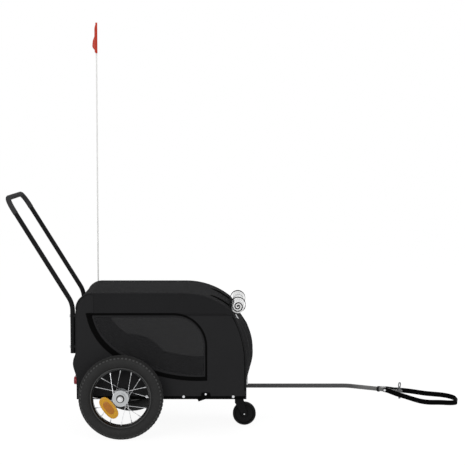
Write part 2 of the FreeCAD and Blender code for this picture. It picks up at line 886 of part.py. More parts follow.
handle_bolt_places = [(side, mm(f"handle_bolt_{label}"))
                      for side in SIDES.values() for label in ("low", "high")]
bolt_tail = hoop_leg + mm("hoop_radius") + mm("bolt_radius")
bolt_seat = mm("handle_x") - mm("handle_radius")
handle_drills = Part.makeCompound([
    handle_bolt_line(side, z, mm("bolt_radius") + bolt_play, bolt_seat - mm("handle_radius"),
                     bolt_tail + mm("hoop_radius")) for side, z in handle_bolt_places])


def handle_bolt(side, z):
    head = bolt_head(at(bolt_seat, side * mm("handle_half_width"), z), Vector(-1, 0, 0))
    return handle_bolt_line(side, z, mm("bolt_radius"), bolt_seat, bolt_tail).fuse(head)


handle_bar = swept(handle_path, mm("handle_radius"))
handle_tube = tube(handle_path, mm("handle_radius"), mm("tube_wall"))
node("handle_tube", shaped("handle_tube", handle_tube.cut(handle_drills)))
grip_bore = mm("handle_radius") / math.cos(math.pi / mm("bore_sides"))
node("handle_grip", shaped("handle_grip", swept(grip_path, mm("grip_radius")).cut(
    swept(grip_path, grip_bore, round(mm("bore_sides"))))))
node("handle_bolts", shaped("handle_bolts", Part.makeCompound(
    [handle_bolt(side, z) for side, z in handle_bolt_places])))
node("handle_end_caps", shaped("handle_end_caps", Part.makeCompound([
    bar(handle_corner(side, "handle_x", "handle_foot") - Vector(0, 0, mm("cap_height")),
        handle_corner(side, "handle_x", "handle_foot"), mm("handle_radius")) for side in SIDES.values()])))

stud_height = mm("holder_foot") + mm("holder_plate_height") / 2


def holder_stud(radius):
    """The flag holder's stud line, through the left side panel into the hoop's rear leg."""
    start = at(hoop_leg, mm("rail_middle"), stud_height)
    return bar(start, at(hoop_leg, mm("pole_standoff"), stud_height), radius)


holder_drill = holder_stud(mm("bolt_radius") + bolt_play)
for (name, side), solid in zip(SIDES.items(), hoop_bars):
    bore = swept(hoop_path, mm("hoop_radius") - mm("tube_wall"), round(mm("bore_sides")))
    hollow = solid.Shape.cut(moved(bore, side * mm("rail_middle")))
    rail = bar(at(-2 * mm("cabin_back"), side * mm("rail_middle"), mm("rail_height")),
               at(4 * mm("cabin_back"), side * mm("rail_middle"), mm("rail_height")), mm("rail_radius"))
    node(f"{name}_hoop", shaped(f"{name}_hoop", hollow.cut(rail).cut(handle_drills).cut(holder_drill)))

# Cover: crowned front and rear panels, side panels with mesh windows, roof with side flaps

def crowned(section, half_width):
    """A cloth panel lofted across the cabin; its crown fades to the edges as a parabola."""
    edge_crown = 0.03
    stations = [-1, -0.75, -0.4, 0, 0.4, 0.75, 1]
    wires = []
    for station in stations:
        crown = max(1 - station ** 2, edge_crown)
        wires.append(Part.Wire([moved(edge, station * half_width) for edge in section(crown)]))
    return Part.makeLoft(wires, True, True)


def band(points, shift):
    """A closed strip: arcs through triples of points, then the same moved by shift, back to front."""
    there = [Part.Arc(*triple).toShape() for triple in points]
    back = [Part.Arc(*[point + shift for point in reversed(triple)]).toShape() for triple in reversed(points)]
    near = points[0][0]
    far = points[-1][2]
    return there + [line(far, far + shift)] + back + [line(near + shift, near)]


def rear_section(thickness):
    back = -mm("cabin_back")
    top = mm("roof_height") - mm("roof_corner_radius") - mm("cloth_gap")

    def section(crown):
        middle = at(back - crown * mm("rear_crown"), 0, mm("rear_crown_height"))
        return band([(at(back, 0, mm("cabin_base")), middle, at(back, 0, top))], Vector(thickness, 0, 0))

    return section


def front_section(thickness):
    """The front panel: a bellied upper part over a nearly plain skirt."""
    start = crest_turn + (mm("cloth") + mm("cloth_gap")) / mm("front_radius")
    top = off(front_centre, mm("front_radius"), start)
    plain_shoulder = off(front_centre, mm("front_radius"), (start + level) / 2)
    plain_belly = off(front_centre, mm("front_radius"), level)
    skirt = Vector(plain_belly.x, 0, mm("front_skirt_height"))
    foot = Vector(plain_belly.x, 0, mm("cabin_base"))

    def section(crown):
        push = Vector(crown * mm("front_crown"), 0, 0)
        belly = plain_belly + push + Vector(0, 0, crown * (mm("front_crown_height") - plain_belly.z))
        below = (belly + skirt) * 0.5 + push * 0.2
        hem = (skirt + foot) * 0.5 + push * 0.05
        return band([(top, plain_shoulder + push, belly), (belly, below, skirt), (skirt, hem, foot)],
                    Vector(-thickness, 0, 0))

    return section


def short_arc(centre, start, end):
    """The shorter arc about a centre."""
    reach = start - centre + end - centre
    middle = centre + reach.normalize() * start.distanceToPoint(centre)
    return Part.Arc(start, middle, end).toShape()


def window_slab(trim, sill, depth):
    """The side window: one round corner in front, and two large arcs that meet at a knee below.

    The straight edges are moved inwards by trim, and the arcs by sill."""
    front = mm("window_front") - trim
    top = mm("window_top") - trim
    corner = mm("window_corner") - trim
    corner_centre = at(front - corner, 0, top - corner)
    knee = at(mm("sill_knee_x"), 0, mm("sill_knee_z"))
    low = Part.Arc(at(mm("window_front"), 0, mm("window_foot")),
                   at(mm("sill_low_x"), 0, mm("sill_low_z")), knee).toShape().Curve
    high = Part.Arc(knee, at(mm("sill_high_x"), 0, mm("sill_high_z")),
                    at(mm("window_back"), 0, mm("window_top"))).toShape().Curve
    low_radius = low.Radius - sill
    high_radius = high.Radius - sill
    sideways = at(front, 0, 0).x - low.Center.x
    foot = Vector(at(front, 0, 0).x, 0, low.Center.z - math.sqrt(low_radius ** 2 - sideways ** 2))
    upwards = top - high.Center.z
    head = Vector(high.Center.x - math.sqrt(high_radius ** 2 - upwards ** 2), 0, top)
    crossings = Part.Circle(low.Center, low.Axis, low_radius).intersect(
        Part.Circle(high.Center, low.Axis, high_radius))
    turn = min((Vector(point.X, 0, point.Z) for point in crossings), key=knee.distanceToPoint)
    return prism([
        line(head, off(corner_centre, corner, 0)),
        arc(corner_centre, corner, 0, level),
        line(off(corner_centre, corner, level), foot),
        short_arc(low.Center, foot, turn),
        short_arc(high.Center, turn, head),
    ], depth)


trim = mm("window_trim")
sill = mm("window_sill")
gap = mm("cloth_gap")
panel_middle = (panel_in + panel_out) / 2
for name, side in SIDES.items():
    panel = moved(cabin_block(mm("cloth") + gap, mm("cloth")), side * panel_middle)
    panel = panel.cut(moved(window_slab(trim, sill, 2 * mm("cloth")), side * panel_middle))
    panel = panel.cut(rail_drills(side)).cut(holder_drill)
    node(f"{name}_side_panel", shaped(f"{name}_side_panel", panel))
    mesh = moved(window_slab(trim + gap, sill + gap, mm("cloth") / 2), side * panel_middle)
    node(f"{name}_window_mesh", shaped(f"{name}_window_mesh", mesh))

rear_panel = crowned(rear_section(mm("cloth")), panel_out)
front_panel = crowned(front_section(mm("cloth")), panel_out)
node("rear_panel", shaped("rear_panel", rear_panel.cut(handle_drills)))
node("front_panel", shaped("front_panel", front_panel))

flap_out = panel_out + gap + mm("cloth")
outer_roof = cabin_outline(0, mm("cabin_base"))[1:5]
inner_roof = cabin_outline(mm("cloth"), mm("cabin_base"))[1:5]
roof_ends = [line(outer_roof[end].Vertexes[end].Point, inner_roof[end].Vertexes[end].Point)
             for end in (0, -1)]
roof = prism(outer_roof + inner_roof + roof_ends, 2 * flap_out)
flap_zone = Part.makeBox(4 * mm("cabin_back"), 2 * flap_out, 2 * mm("flap_drop"),
                         at(mm("flap_seam"), -flap_out, mm("roof_height") - mm("flap_drop")))
for side in SIDES.values():
    flap = moved(cabin_block(0, mm("cloth")), side * (flap_out - mm("cloth") / 2))
    roof = roof.fuse(flap.common(flap_zone))
node("roof_cover", shaped("roof_cover", roof.removeSplitter()))

# Saddles and reflectors, coped to the crowned panels

coping_depth = 20 * mm("cloth")
rear_coping = crowned(rear_section(coping_depth), panel_out)
front_coping = crowned(front_section(coping_depth), panel_out)
saddles = []
for side, z in handle_bolt_places:
    saddle = handle_bolt_line(side, z, mm("saddle_radius"), mm("handle_x"), -mm("cabin_back") + mm("cloth"))
    saddles.append(saddle.cut(handle_bar).cut(rear_coping).cut(handle_drills))
node("handle_saddles", shaped("handle_saddles", Part.makeCompound(saddles)))


def reflector_blank(x, y, z, facing):
    """A reflector lying against a panel: its face stands the reflector's depth beyond x."""
    length = mm("reflector_length")
    width = mm("reflector_width")
    depth = mm("reflector_depth")
    plate = stadium(length, width, 2 * depth)
    plate = plate.makeChamfer(depth / 4, plate.Faces[-1].Edges)
    rotation = FreeCAD.Rotation(Vector(0, facing, 0), Vector(0, 0, 1), Vector(facing, 0, 0), "ZXY")
    plate.Placement = FreeCAD.Placement(at(x, y, z) - Vector(facing * depth, 0, 0), rotation)
    return plate


rear_reflectors = []
for side in SIDES.values():
    y = side * mm("rear_reflector_middle")
    swell = mm("rear_crown") * (1 - (y / panel_out) ** 2)
    blank = reflector_blank(-mm("cabin_back") - swell, y, mm("rear_reflector_height"), -1)
    rear_reflectors.append(blank.cut(rear_coping))
node("rear_reflectors", shaped("rear_reflectors", Part.makeCompound(rear_reflectors)))
front_face = off(front_centre, mm("front_radius"), level).x + mm("axle_setback")
front_blank = reflector_blank(front_face, 0, mm("front_reflector_height"), 1)
node("front_reflector", shaped("front_reflector", front_blank.cut(front_coping)))

# Rolled rain flap on the crest, its straps, and the tie tab on the right rail

roll_centre = off(crest_centre, mm("crest_radius") + mm("roll_radius") + gap, math.radians(mm("roll_lean")))


def around(centre, radius, angle):
    """A point on a circle in the XZ plane: the angle is counted from +X towards +Z."""
    return centre + Vector(radius * math.cos(angle), 0, radius * math.sin(angle))


def rolled_sheet():
    """The flap's film, wound up: half turns whose radius falls by half a pitch each."""
    phase = math.radians(mm("roll_start_angle"))
    outer = []
    inner = []
    film = mm("roll_film")
    for index in range(2 * round(mm("roll_turns"))):
        radius = mm("roll_radius") - index * mm("roll_pitch") / 2
        centre = roll_centre if index % 2 == 0 else around(roll_centre, -mm("roll_pitch") / 2, phase)
        angles = [phase + index * math.pi + part * math.pi / 2 for part in range(3)]
        outer.append(Part.Arc(*[around(centre, radius, angle) for angle in angles]).toShape())
        inner.append(Part.Arc(*[around(centre, radius - film, angle) for angle in angles]).toShape())
    ends = [line(outer[end].Vertexes[end].Point, inner[end].Vertexes[end].Point) for end in (0, -1)]
    return prism(outer + inner + ends, 2 * mm("roll_half_length"))


def roll_strap():
    """A strap that leaves the roof, passes over the roll and ends under it."""
    inner = mm("roll_radius") + gap
    outer = inner + mm("strap_thickness")
    root = off(brow_centre, mm("brow_radius") + gap, math.radians(mm("strap_start_turn")))
    towards = roll_centre - root
    rise = math.atan2(towards.z, towards.x) + math.asin(inner / towards.Length)
    top = rise + level
    end = math.radians(mm("strap_end_angle"))
    root_out = around(root, mm("strap_thickness"), top)
    edges = [line(root, around(roll_centre, inner, top)), line(root_out, around(roll_centre, outer, top)),
             line(root, root_out), line(around(roll_centre, inner, end), around(roll_centre, outer, end))]
    for radius in (inner, outer):
        points = [around(roll_centre, radius, angle) for angle in (top, (top + end) / 2, end)]
        edges.append(Part.Arc(*points).toShape())
    return prism(edges, mm("strap_width"))


def tie_tab():
    """A short webbing tab whose tongue hangs below the right rail."""
    corners = [at(mm("tab_x") + x, 0, mm("tab_z") + z) for x, z in (
        (14, 6), (-14, 6), (-16, -5), (-29, -18), (-25, -26), (3, -16), (18, -6))]
    edges = [line(start, end) for start, end in zip(corners, corners[1:] + corners[:1])]
    return moved(prism(edges, mm("cloth")), -(panel_out + gap + mm("cloth") / 2))


node("rain_flap_roll", shaped("rain_flap_roll", rolled_sheet()))
node("cover_straps", shaped("cover_straps", Part.makeCompound(
    [moved(roll_strap(), side * mm("strap_middle")) for side in SIDES.values()] + [tie_tab()])))

# Caster: mount with stem socket, fork, wheel, axle bolt

plate_under = "(rail_height - cross_radius - caster_plate_thickness)"
plate = block("caster_plate", "caster_plate_length", "caster_plate_width", "caster_plate_thickness",
              "caster_stem_x - caster_plate_back", "-caster_plate_width / 2", plate_under)
socket = rod("caster_socket", "caster_socket_radius", f"{plate_under} - caster_socket_foot", "z",
             "caster_stem_x", "0", "caster_socket_foot")
bore = rod("caster_socket_bore", "caster_stem_radius + running_play",
           f"{plate_under} - caster_socket_foot + caster_plate_thickness / 2", "z",
           "caster_stem_x", "0", "caster_socket_foot")
node("caster_mount", cut("caster_mount", join("caster_mount_body", plate, socket), bore))

fork_half = "(caster_wheel_width / 2 + caster_fork_gap + caster_fork_plate)"
fork_top = "caster_socket_foot - cloth_gap"
fork = doc.addObject("PartDesign::Body", "caster_fork_body")
fork_side = sketch_on(fork, "caster_fork_side", "XZ_Plane")
polygon(fork_side, [
    ("-caster_crown_half", fork_top),
    ("-caster_crown_half", "2 * caster_wheel_radius"),
    ("caster_trail - caster_arm_half", "caster_wheel_radius"),
    ("caster_trail - caster_arm_half / 2", "caster_wheel_radius - caster_arm_half"),
    ("caster_trail + caster_arm_half / 2", "caster_wheel_radius - caster_arm_half"),
    ("caster_trail + caster_arm_half", "caster_wheel_radius"),
    ("caster_crown_half", fork_top),
])
fork_pad = fork.newObject("PartDesign::Pad", "caster_fork_pad")
fork_pad.Profile = fork_side
fork_pad.Midplane = True
bind(fork_pad, Length=f"2 * {fork_half}")
place(fork, "caster_stem_x")
slot = block("caster_fork_slot", "4 * caster_wheel_radius", "caster_wheel_width + 2 * caster_fork_gap",
             "2 * caster_wheel_radius + caster_crown_gap", "caster_stem_x - 2 * caster_wheel_radius",
             "-caster_wheel_width / 2 - caster_fork_gap", "0")
fork_bore = rod("caster_fork_bore", "caster_axle_radius + running_play", f"2 * {fork_half}", "y",
                "caster_stem_x + caster_trail", f"-{fork_half}", "caster_wheel_radius")
stem = rod("caster_stem", "caster_stem_radius", f"{plate_under} - ({fork_top}) + cloth_gap", "z",
           "caster_stem_x", "0", fork_top)
node("caster_fork", join("caster_fork", cut("caster_fork_arms", fork, slot, fork_bore), stem))

caster_wheel = turned("caster_wheel", mirrored([
    ("caster_axle_radius + running_play", "caster_wheel_width / 2"),
    ("caster_hub_radius", "caster_wheel_width / 2"),
    ("caster_hub_radius + caster_rim_step", "caster_web_half"),
    ("caster_wheel_radius - caster_rim_depth", "caster_web_half"),
    ("caster_wheel_radius - caster_rim_depth + caster_rim_step", "caster_wheel_width / 2 - caster_fork_gap"),
    ("caster_wheel_radius - caster_rim_step", "caster_wheel_width / 2 - caster_fork_gap"),
    ("caster_wheel_radius", "caster_web_half"),
])[::-1])
place(caster_wheel, "caster_stem_x + caster_trail", "0", "caster_wheel_radius")
node("caster_wheel", caster_wheel)

axle_x = "caster_stem_x + caster_trail"
shank = rod("caster_axle_shank", "caster_axle_radius", f"2 * {fork_half}", "y",
            axle_x, f"-{fork_half}", "caster_wheel_radius")
heads = [rod(f"caster_axle_{label}", "caster_axle_head", "caster_fork_plate", "y",
             axle_x, y, "caster_wheel_radius")
         for label, y in (("head", f"-{fork_half} - caster_fork_plate"), ("nut", fork_half))]
node("caster_axle", join("caster_axle", shank, *heads))

# Towing: sleeve under the left rail, clamp knob, bent bar with forged tongue, pin, tether, strap

sleeve_length = "sleeve_front - sleeve_back"
sleeve = rod("sleeve_outside", "sleeve_radius", sleeve_length, "x",
             "sleeve_back", "rail_middle", "tow_height")
sleeve_web = block("sleeve_web", f"{sleeve_length} - 4 * sleeve_radius", "sleeve_web",
                   "rail_height - tow_height", "sleeve_back + 2 * sleeve_radius",
                   "rail_middle - sleeve_web / 2", "tow_height")
sleeve_bore = rod("sleeve_bore", "tow_radius + tow_play", sleeve_length, "x",
                  "sleeve_back", "rail_middle", "tow_height")
screw_hole = rod("sleeve_screw_hole", "knob_screw_radius + running_play", "2 * sleeve_radius", "z",
                 "knob_x", "rail_middle", "tow_height - 2 * sleeve_radius")
node("tow_bar_sleeve", cut("tow_bar_sleeve", join("sleeve_body", sleeve, sleeve_web),
                           sleeve_bore, screw_hole, rail_bars[0]))

knob = doc.addObject("PartDesign::Body", "clamp_knob_grip")
for label, radius, reach in (("core", "knob_radius - knob_lobe_radius", "0"),
                             ("lobe", "knob_lobe_radius", "knob_radius - knob_lobe_radius")):
    sketch = sketch_on(knob, f"clamp_knob_{label}", "XY_Plane")
    circle(sketch, radius, reach)
    pad = knob.newObject("PartDesign::Pad", f"clamp_knob_{label}_pad")
    pad.Profile = sketch
    bind(pad, Length="knob_height")
    doc.recompute()
lobes = knob.newObject("PartDesign::PolarPattern", "clamp_knob_lobes")
lobes.Originals = [pad]
lobes.Axis = (plane_of(knob, "Z_Axis"), [""])
lobes.Angle = 360
bind(lobes, Occurrences="knob_lobes")
knob.Tip = lobes
knob_top = "tow_height - sleeve_radius - knob_standoff"
place(knob, "knob_x", "rail_middle", f"{knob_top} - knob_height")
screw = rod("clamp_knob_screw", "knob_screw_radius",
            "sleeve_radius + knob_standoff - tow_radius - cloth_gap + knob_height / 2", "z",
            "knob_x", "rail_middle", f"{knob_top} - knob_height / 2")
node("clamp_knob", join("clamp_knob", knob, screw))

tow_turn = math.radians(mm("tow_angle"))
tow_along = Vector(math.cos(tow_turn), -math.sin(tow_turn), 0)
tow_aside = Vector(math.sin(tow_turn), math.cos(tow_turn), 0)
tow_corner = at(mm("tow_bend_x"), mm("rail_middle"), mm("tow_height"))
tow_end = tow_corner + tow_along * ((mm("tow_end_x") - mm("tow_bend_x")) / math.cos(tow_turn))
pin_reach = mm("tongue_length") - mm("pin_setback")


def on_bar(along, aside=0, up=0):
    """A point counted from the end of the bar's tube: along the bar, to its left, upwards."""
    return tow_end + tow_along * along + tow_aside * aside + Vector(0, 0, up)


tow_path = bent_path([at(mm("tow_root"), mm("rail_middle"), mm("tow_height")), tow_corner, tow_end],
                     [mm("tow_bend_radius")])
half_tongue = mm("tongue_thickness") / 2
tongue = Part.makeBox(mm("tow_radius") + pin_reach, 2 * mm("tow_radius"), 2 * half_tongue)
tongue.Placement = FreeCAD.Placement(on_bar(-mm("tow_radius"), -mm("tow_radius"), -half_tongue),
                                     FreeCAD.Rotation(Vector(0, 0, 1), -mm("tow_angle")))
eye = bar(on_bar(pin_reach, 0, -half_tongue), on_bar(pin_reach, 0, half_tongue), mm("tongue_width") / 2)
plug = bar(on_bar(-mm("loop_tab")), tow_end, mm("tow_radius"))
pin_hole = bar(on_bar(pin_reach, 0, -2 * half_tongue), on_bar(pin_reach, 0, 2 * half_tongue),
               mm("pin_shoulder_radius") + mm("running_play"))
strap_offset = mm("tow_radius") + gap + mm("loop_thickness") / 2
strap_seat = strap_offset + mm("loop_thickness") / 2 + gap


def strap_bolt_line(radius):
    return bar(on_bar(-mm("loop_bolt"), -strap_seat), on_bar(-mm("loop_bolt"), strap_seat), radius)


tow_bar = tube(tow_path, mm("tow_radius"), mm("tube_wall")).fuse([plug, tongue, eye])
tow_bar = tow_bar.cut(pin_hole).cut(strap_bolt_line(mm("bolt_radius") + bolt_play))
node("tow_bar", shaped("tow_bar", tow_bar.removeSplitter()))

pin_tip = on_bar(pin_reach, 0, -half_tongue - mm("pin_free_length"))
pin_seat = on_bar(pin_reach, 0, half_tongue)
collar_top = pin_seat + Vector(0, 0, mm("pin_collar_height"))
neck_top = collar_top + Vector(0, 0, mm("pin_neck"))
ring_middle = neck_top + Vector(0, 0, mm("pin_ring_radius"))
ring_edge = tow_along * mm("pin_ring_wire")
ring_wire = mm("pin_ring_wire")
pin_ring = bar(ring_middle - ring_edge, ring_middle + ring_edge, mm("pin_ring_radius") + ring_wire).cut(
    bar(ring_middle - ring_edge, ring_middle + ring_edge, mm("pin_ring_radius") - ring_wire))
hitch_pin = bar(pin_tip, neck_top, mm("pin_radius")).fuse(
    [bar(on_bar(pin_reach, 0, -half_tongue), pin_seat, mm("pin_shoulder_radius")),
     bar(pin_seat, collar_top, mm("pin_collar_radius")), pin_ring])
node("hitch_pin", shaped("hitch_pin", hitch_pin.removeSplitter()))

tether_radius = mm("tether_radius")
tether_start = (mm("tether_root") - mm("tow_end_x")) / math.cos(tow_turn)
tether_low = mm("tow_radius") + gap + tether_radius
loop_radius = mm("pin_radius") + gap + tether_radius
noose_height = half_tongue + mm("pin_collar_height") + gap + tether_radius
noose_low = on_bar(pin_reach, 0, noose_height - tether_radius)
noose_top = on_bar(pin_reach, 0, noose_height + tether_radius)
noose = bar(noose_low, noose_top, loop_radius + tether_radius).cut(
    bar(noose_low, noose_top, loop_radius - tether_radius))
tether_path = bent_path([on_bar(tether_start, 0, tether_low),
                         on_bar(tether_start / 4, 0, tether_low + mm("tether_rise")),
                         on_bar(pin_reach - loop_radius, 0, noose_height)], [mm("tether_bend")])
tether = swept(tether_path, tether_radius)
clip_start = on_bar(tether_start - mm("tether_clip") / 2)
clip_end = on_bar(tether_start + mm("tether_clip") / 2)
clip = bar(clip_start, clip_end, tether_low + tether_radius + gap).cut(
    bar(clip_start, clip_end, mm("tow_radius") + mm("running_play")))
node("pin_tether", shaped("pin_tether", clip.fuse([tether, noose])))


def ribbon(path, thickness, width):
    """A flat band on edge along a level path."""
    first = path.OrderedEdges[0]
    start = path.OrderedVertexes[0].Point
    aside = first.tangentAt(first.FirstParameter).cross(Vector(0, 0, 1)).normalize() * (thickness / 2)
    up = Vector(0, 0, width / 2)
    corners = [start + aside + up, start + aside - up, start - aside - up, start - aside + up]
    return path.makePipeShell([Part.makePolygon(corners + corners[:1])], True, False)


strap_path = bent_path(
    [on_bar(-mm("loop_tab"), strap_offset), on_bar(0, strap_offset),
     at(mm("loop_knee"), mm("loop_left"), mm("tow_height")),
     at(mm("loop_front"), mm("loop_left"), mm("tow_height")),
     at(mm("loop_front"), mm("loop_right"), mm("tow_height")),
     at(mm("loop_knee"), mm("loop_right"), mm("tow_height")),
     on_bar(0, -strap_offset), on_bar(-mm("loop_tab"), -strap_offset)],
    [mm(f"loop_{place}_bend") for place in ("root", "knee", "front", "front", "knee", "root")])
strap = ribbon(strap_path, mm("loop_thickness"), mm("loop_width"))
strap.rotate(tow_end, Vector(0, 1, 0), mm("loop_droop"))
node("safety_strap", shaped("safety_strap", strap.cut(strap_bolt_line(mm("bolt_radius") + gap))))
strap_bolt = strap_bolt_line(mm("bolt_radius"))
for side in SIDES.values():
    strap_bolt = strap_bolt.fuse(bolt_head(on_bar(-mm("loop_bolt"), side * strap_seat), tow_aside * side))
node("strap_bolt", shaped("strap_bolt", strap_bolt))

# Flag: holder with stud, pole, pennant sewn to a sleeve

plate_start = "(cloth + cloth_gap + hoop_radius - cabin_back - 2 * holder_radius)"
holder_plate = block("flag_holder_plate", f"pole_x + holder_radius - {plate_start}", "holder_plate",
                     "holder_plate_height", plate_start, f"{PANEL_OUT} + cloth_gap", "holder_foot")
holder_tube = rod("flag_holder_tube", "holder_radius", "holder_depth + holder_floor", "z",
                  "pole_x", "pole_standoff", "holder_foot")
holder_bore = rod("flag_holder_bore", "pole_radius + pole_play", "holder_depth", "z",
                  "pole_x", "pole_standoff", "holder_foot + holder_floor")
holder_pin = shaped("flag_holder_stud", holder_stud(mm("bolt_radius")).common(
    Part.makeBox(2 * mm("cabin_back"), panel_out + gap + mm("holder_plate"), mm("roof_height"),
                 at(-2 * mm("cabin_back"), 0, 0))))
holder_body = join("flag_holder_body", holder_plate, holder_tube, holder_pin)
node("flag_holder", cut("flag_holder", holder_body, holder_bore))
node("flag_pole", rod("flag_pole", "pole_radius", "pole_top - holder_foot - holder_floor", "z",
                      "pole_x", "pole_standoff", "holder_foot + holder_floor"))


def flag_point(x, y):
    """A point on the pennant's mid line, counted from the pole."""
    return at(mm("pole_x") + x * mm("flag_wave"), mm("pole_standoff") - y,
              mm("pole_top") - mm("flag_hoist") / 2)


sleeve_middle = mm("pole_radius") + mm("flag_sleeve") / 2
flag_path = bent_path([flag_point(0, sleeve_middle), flag_point(-1, 0.3 * mm("flag_fly")),
                       flag_point(0.4, 0.6 * mm("flag_fly")), flag_point(-1.6, mm("flag_fly"))],
                      [mm("flag_bend"), mm("flag_bend")])
pennant_corners = [at(0, mm("pole_standoff") + y, mm("pole_top") - z * mm("flag_hoist")) for y, z in (
    (0, 0), (0, 1), (-mm("flag_fly"), mm("flag_tip")))]
pennant_face = Part.Face(Part.makePolygon(pennant_corners + pennant_corners[:1]))
pennant_zone = pennant_face.extrude(Vector(2 * mm("pole_x"), 0, 0))
pennant = ribbon(flag_path, mm("flag_cloth"), mm("flag_hoist")).common(pennant_zone)
hem_low = at(mm("pole_x"), mm("pole_standoff"), mm("pole_top") - mm("flag_hoist"))
hem_top = at(mm("pole_x"), mm("pole_standoff"), mm("pole_top"))
hem = bar(hem_low, hem_top, mm("pole_radius") + mm("flag_sleeve"))
pole_core = bar(hem_low, hem_top, mm("pole_radius") + mm("running_play"))
node("flag", shaped("flag", pennant.fuse(hem).cut(pole_core)))

# Every piece is checked before the files are written

doc.recompute()
for piece in doc.Objects:
    if "Invalid" in piece.State or "Error" in piece.State:
        raise ValueError(f"{piece.Name} failed: {piece.State}")
for piece in NODES:
    if piece.Shape.isNull() or not piece.Shape.isValid():
        raise ValueError(f"{piece.Label} has no valid shape")
os.makedirs("parts", exist_ok=True)
for piece in NODES:
    piece.Shape.exportStep(f"parts/{piece.Label}.step")
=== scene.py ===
import json
import math

import bmesh
import bpy
from mathutils import Matrix, Vector, noise


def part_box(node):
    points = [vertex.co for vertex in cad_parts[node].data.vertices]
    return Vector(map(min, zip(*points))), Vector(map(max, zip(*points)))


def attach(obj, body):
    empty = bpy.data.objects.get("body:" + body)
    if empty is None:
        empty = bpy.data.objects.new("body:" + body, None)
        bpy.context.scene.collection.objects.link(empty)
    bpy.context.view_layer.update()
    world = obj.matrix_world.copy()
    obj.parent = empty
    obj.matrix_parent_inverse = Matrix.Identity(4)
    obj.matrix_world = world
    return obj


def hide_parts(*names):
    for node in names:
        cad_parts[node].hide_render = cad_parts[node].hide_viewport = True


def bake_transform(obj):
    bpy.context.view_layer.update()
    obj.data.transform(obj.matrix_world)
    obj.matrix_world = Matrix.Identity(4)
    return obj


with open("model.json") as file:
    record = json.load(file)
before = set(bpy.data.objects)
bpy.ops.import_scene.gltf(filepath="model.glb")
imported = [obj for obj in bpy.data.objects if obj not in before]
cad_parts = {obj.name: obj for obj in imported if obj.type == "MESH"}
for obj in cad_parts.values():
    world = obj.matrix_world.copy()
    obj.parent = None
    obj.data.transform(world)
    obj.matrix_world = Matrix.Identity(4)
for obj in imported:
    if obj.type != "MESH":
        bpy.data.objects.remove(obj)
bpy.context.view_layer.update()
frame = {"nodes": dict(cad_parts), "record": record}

bl_info = {
    "name": "Dog bike trailer",
    "version": (1, 0, 0),
    "blender": (4, 5, 0),
    "location": "View3D > Sidebar > Trailer",
    "description": "Cloth, tyres, film, cords and finishes for a packed dog bike trailer",
    "category": "Object",
}

MM = 0.001
SIDES = {"left": 1, "right": -1}
X, Y, Z = range(3)
UP = Vector((0, 0, 1))


# Finishes

def linear(code):
    """A colour written as sRGB hex, as the linear values that shaders take."""
    parts = [int(code[place:place + 2], 16) / 255 for place in (1, 3, 5)]
    return [part / 12.92 if part <= 0.04045 else ((part + 0.055) / 1.055) ** 2.4 for part in parts] + [1.0]


def shade(colour, share):
    """The same linear colour, made lighter or darker by a share."""
    return [share * part for part in list(colour)[:3]] + [1.0]


def add(tree, kind, sockets, out=0, to=None, **settings):
    """One node with its settings and links.

    sockets holds plain values or other nodes' outputs, by the input's name or place. The output
    called out is given back, and it is joined to the input named by to, if there is one."""
    node = tree.nodes.new(kind)
    for name, value in settings.items():
        setattr(node, name, value)
    for name, value in sockets.items():
        if isinstance(value, bpy.types.NodeSocket):
            tree.links.new(value, node.inputs[name])
        else:
            node.inputs[name].default_value = value
    if to is not None:
        tree.links.new(node.outputs[out], to)
    return node.outputs[out]


def finish_of(name, colour, rough, metal=0.0, **sockets):
    """A material with one principled shader; sockets sets more of its inputs."""
    made = bpy.data.materials.new(name)
    made.use_nodes = True
    shader = made.node_tree.nodes["Principled BSDF"]
    values = {"Base Color": colour, "Roughness": rough, "Metallic": metal}
    values.update({socket.replace("_", " "): value for socket, value in sockets.items()})
    for socket, value in values.items():
        shader.inputs[socket].default_value = value
    return made, made.node_tree, shader


# A wave texture has one band in each unit of length at this scale
ONE_BAND = math.tau / 20


def woven(name, colour, pitch, across, rough=0.85, gloss=0.03):
    """Plain-woven cloth: two crossed sets of threads, one pitch apart, with a soft uneven tone."""
    made, tree, shader = finish_of(name, colour, rough, Specular_IOR_Level=gloss)
    place = add(tree, "ShaderNodeTexCoord", {}, "Object")
    warp, weft = [add(tree, "ShaderNodeTexWave", {"Vector": place, "Scale": ONE_BAND / pitch}, "Fac",
                      bands_direction=axis) for axis in across]
    threads = add(tree, "ShaderNodeMath", {0: warp, 1: weft}, operation="MAXIMUM")
    add(tree, "ShaderNodeBump", {"Height": threads, "Distance": pitch / 4, "Strength": 0.5},
        "Normal", shader.inputs["Normal"])
    blots = add(tree, "ShaderNodeTexNoise", {"Vector": place, "Scale": 9.0, "Detail": 3.0}, "Fac")
    tone = add(tree, "ShaderNodeMix", {"Factor": 0.5, "A": blots, "B": threads}, data_type="FLOAT")
    add(tree, "ShaderNodeMix", {"Factor": tone, 6: shade(colour, 0.78), 7: shade(colour, 1.15)},
        2, shader.inputs["Base Color"], data_type="RGBA")
    return made


def netting(name, colour, pitch, threads, holes):
    """Warp-knitted net: threads and holes, one pitch apart, each hide their share of what is behind."""
    made, tree, shader = finish_of(name, colour, 0.8, Specular_IOR_Level=0.05)
    place = add(tree, "ShaderNodeTexCoord", {}, "Object")
    wales, courses = [add(tree, "ShaderNodeTexWave", {"Vector": place, "Scale": ONE_BAND / pitch}, "Fac",
                          bands_direction=axis) for axis in "XZ"]
    gaps = add(tree, "ShaderNodeMath", {0: wales, 1: courses}, operation="MULTIPLY")
    add(tree, "ShaderNodeMath", {0: gaps, 1: holes - threads, 2: threads}, 0, shader.inputs["Alpha"],
        operation="MULTIPLY_ADD")
    return made


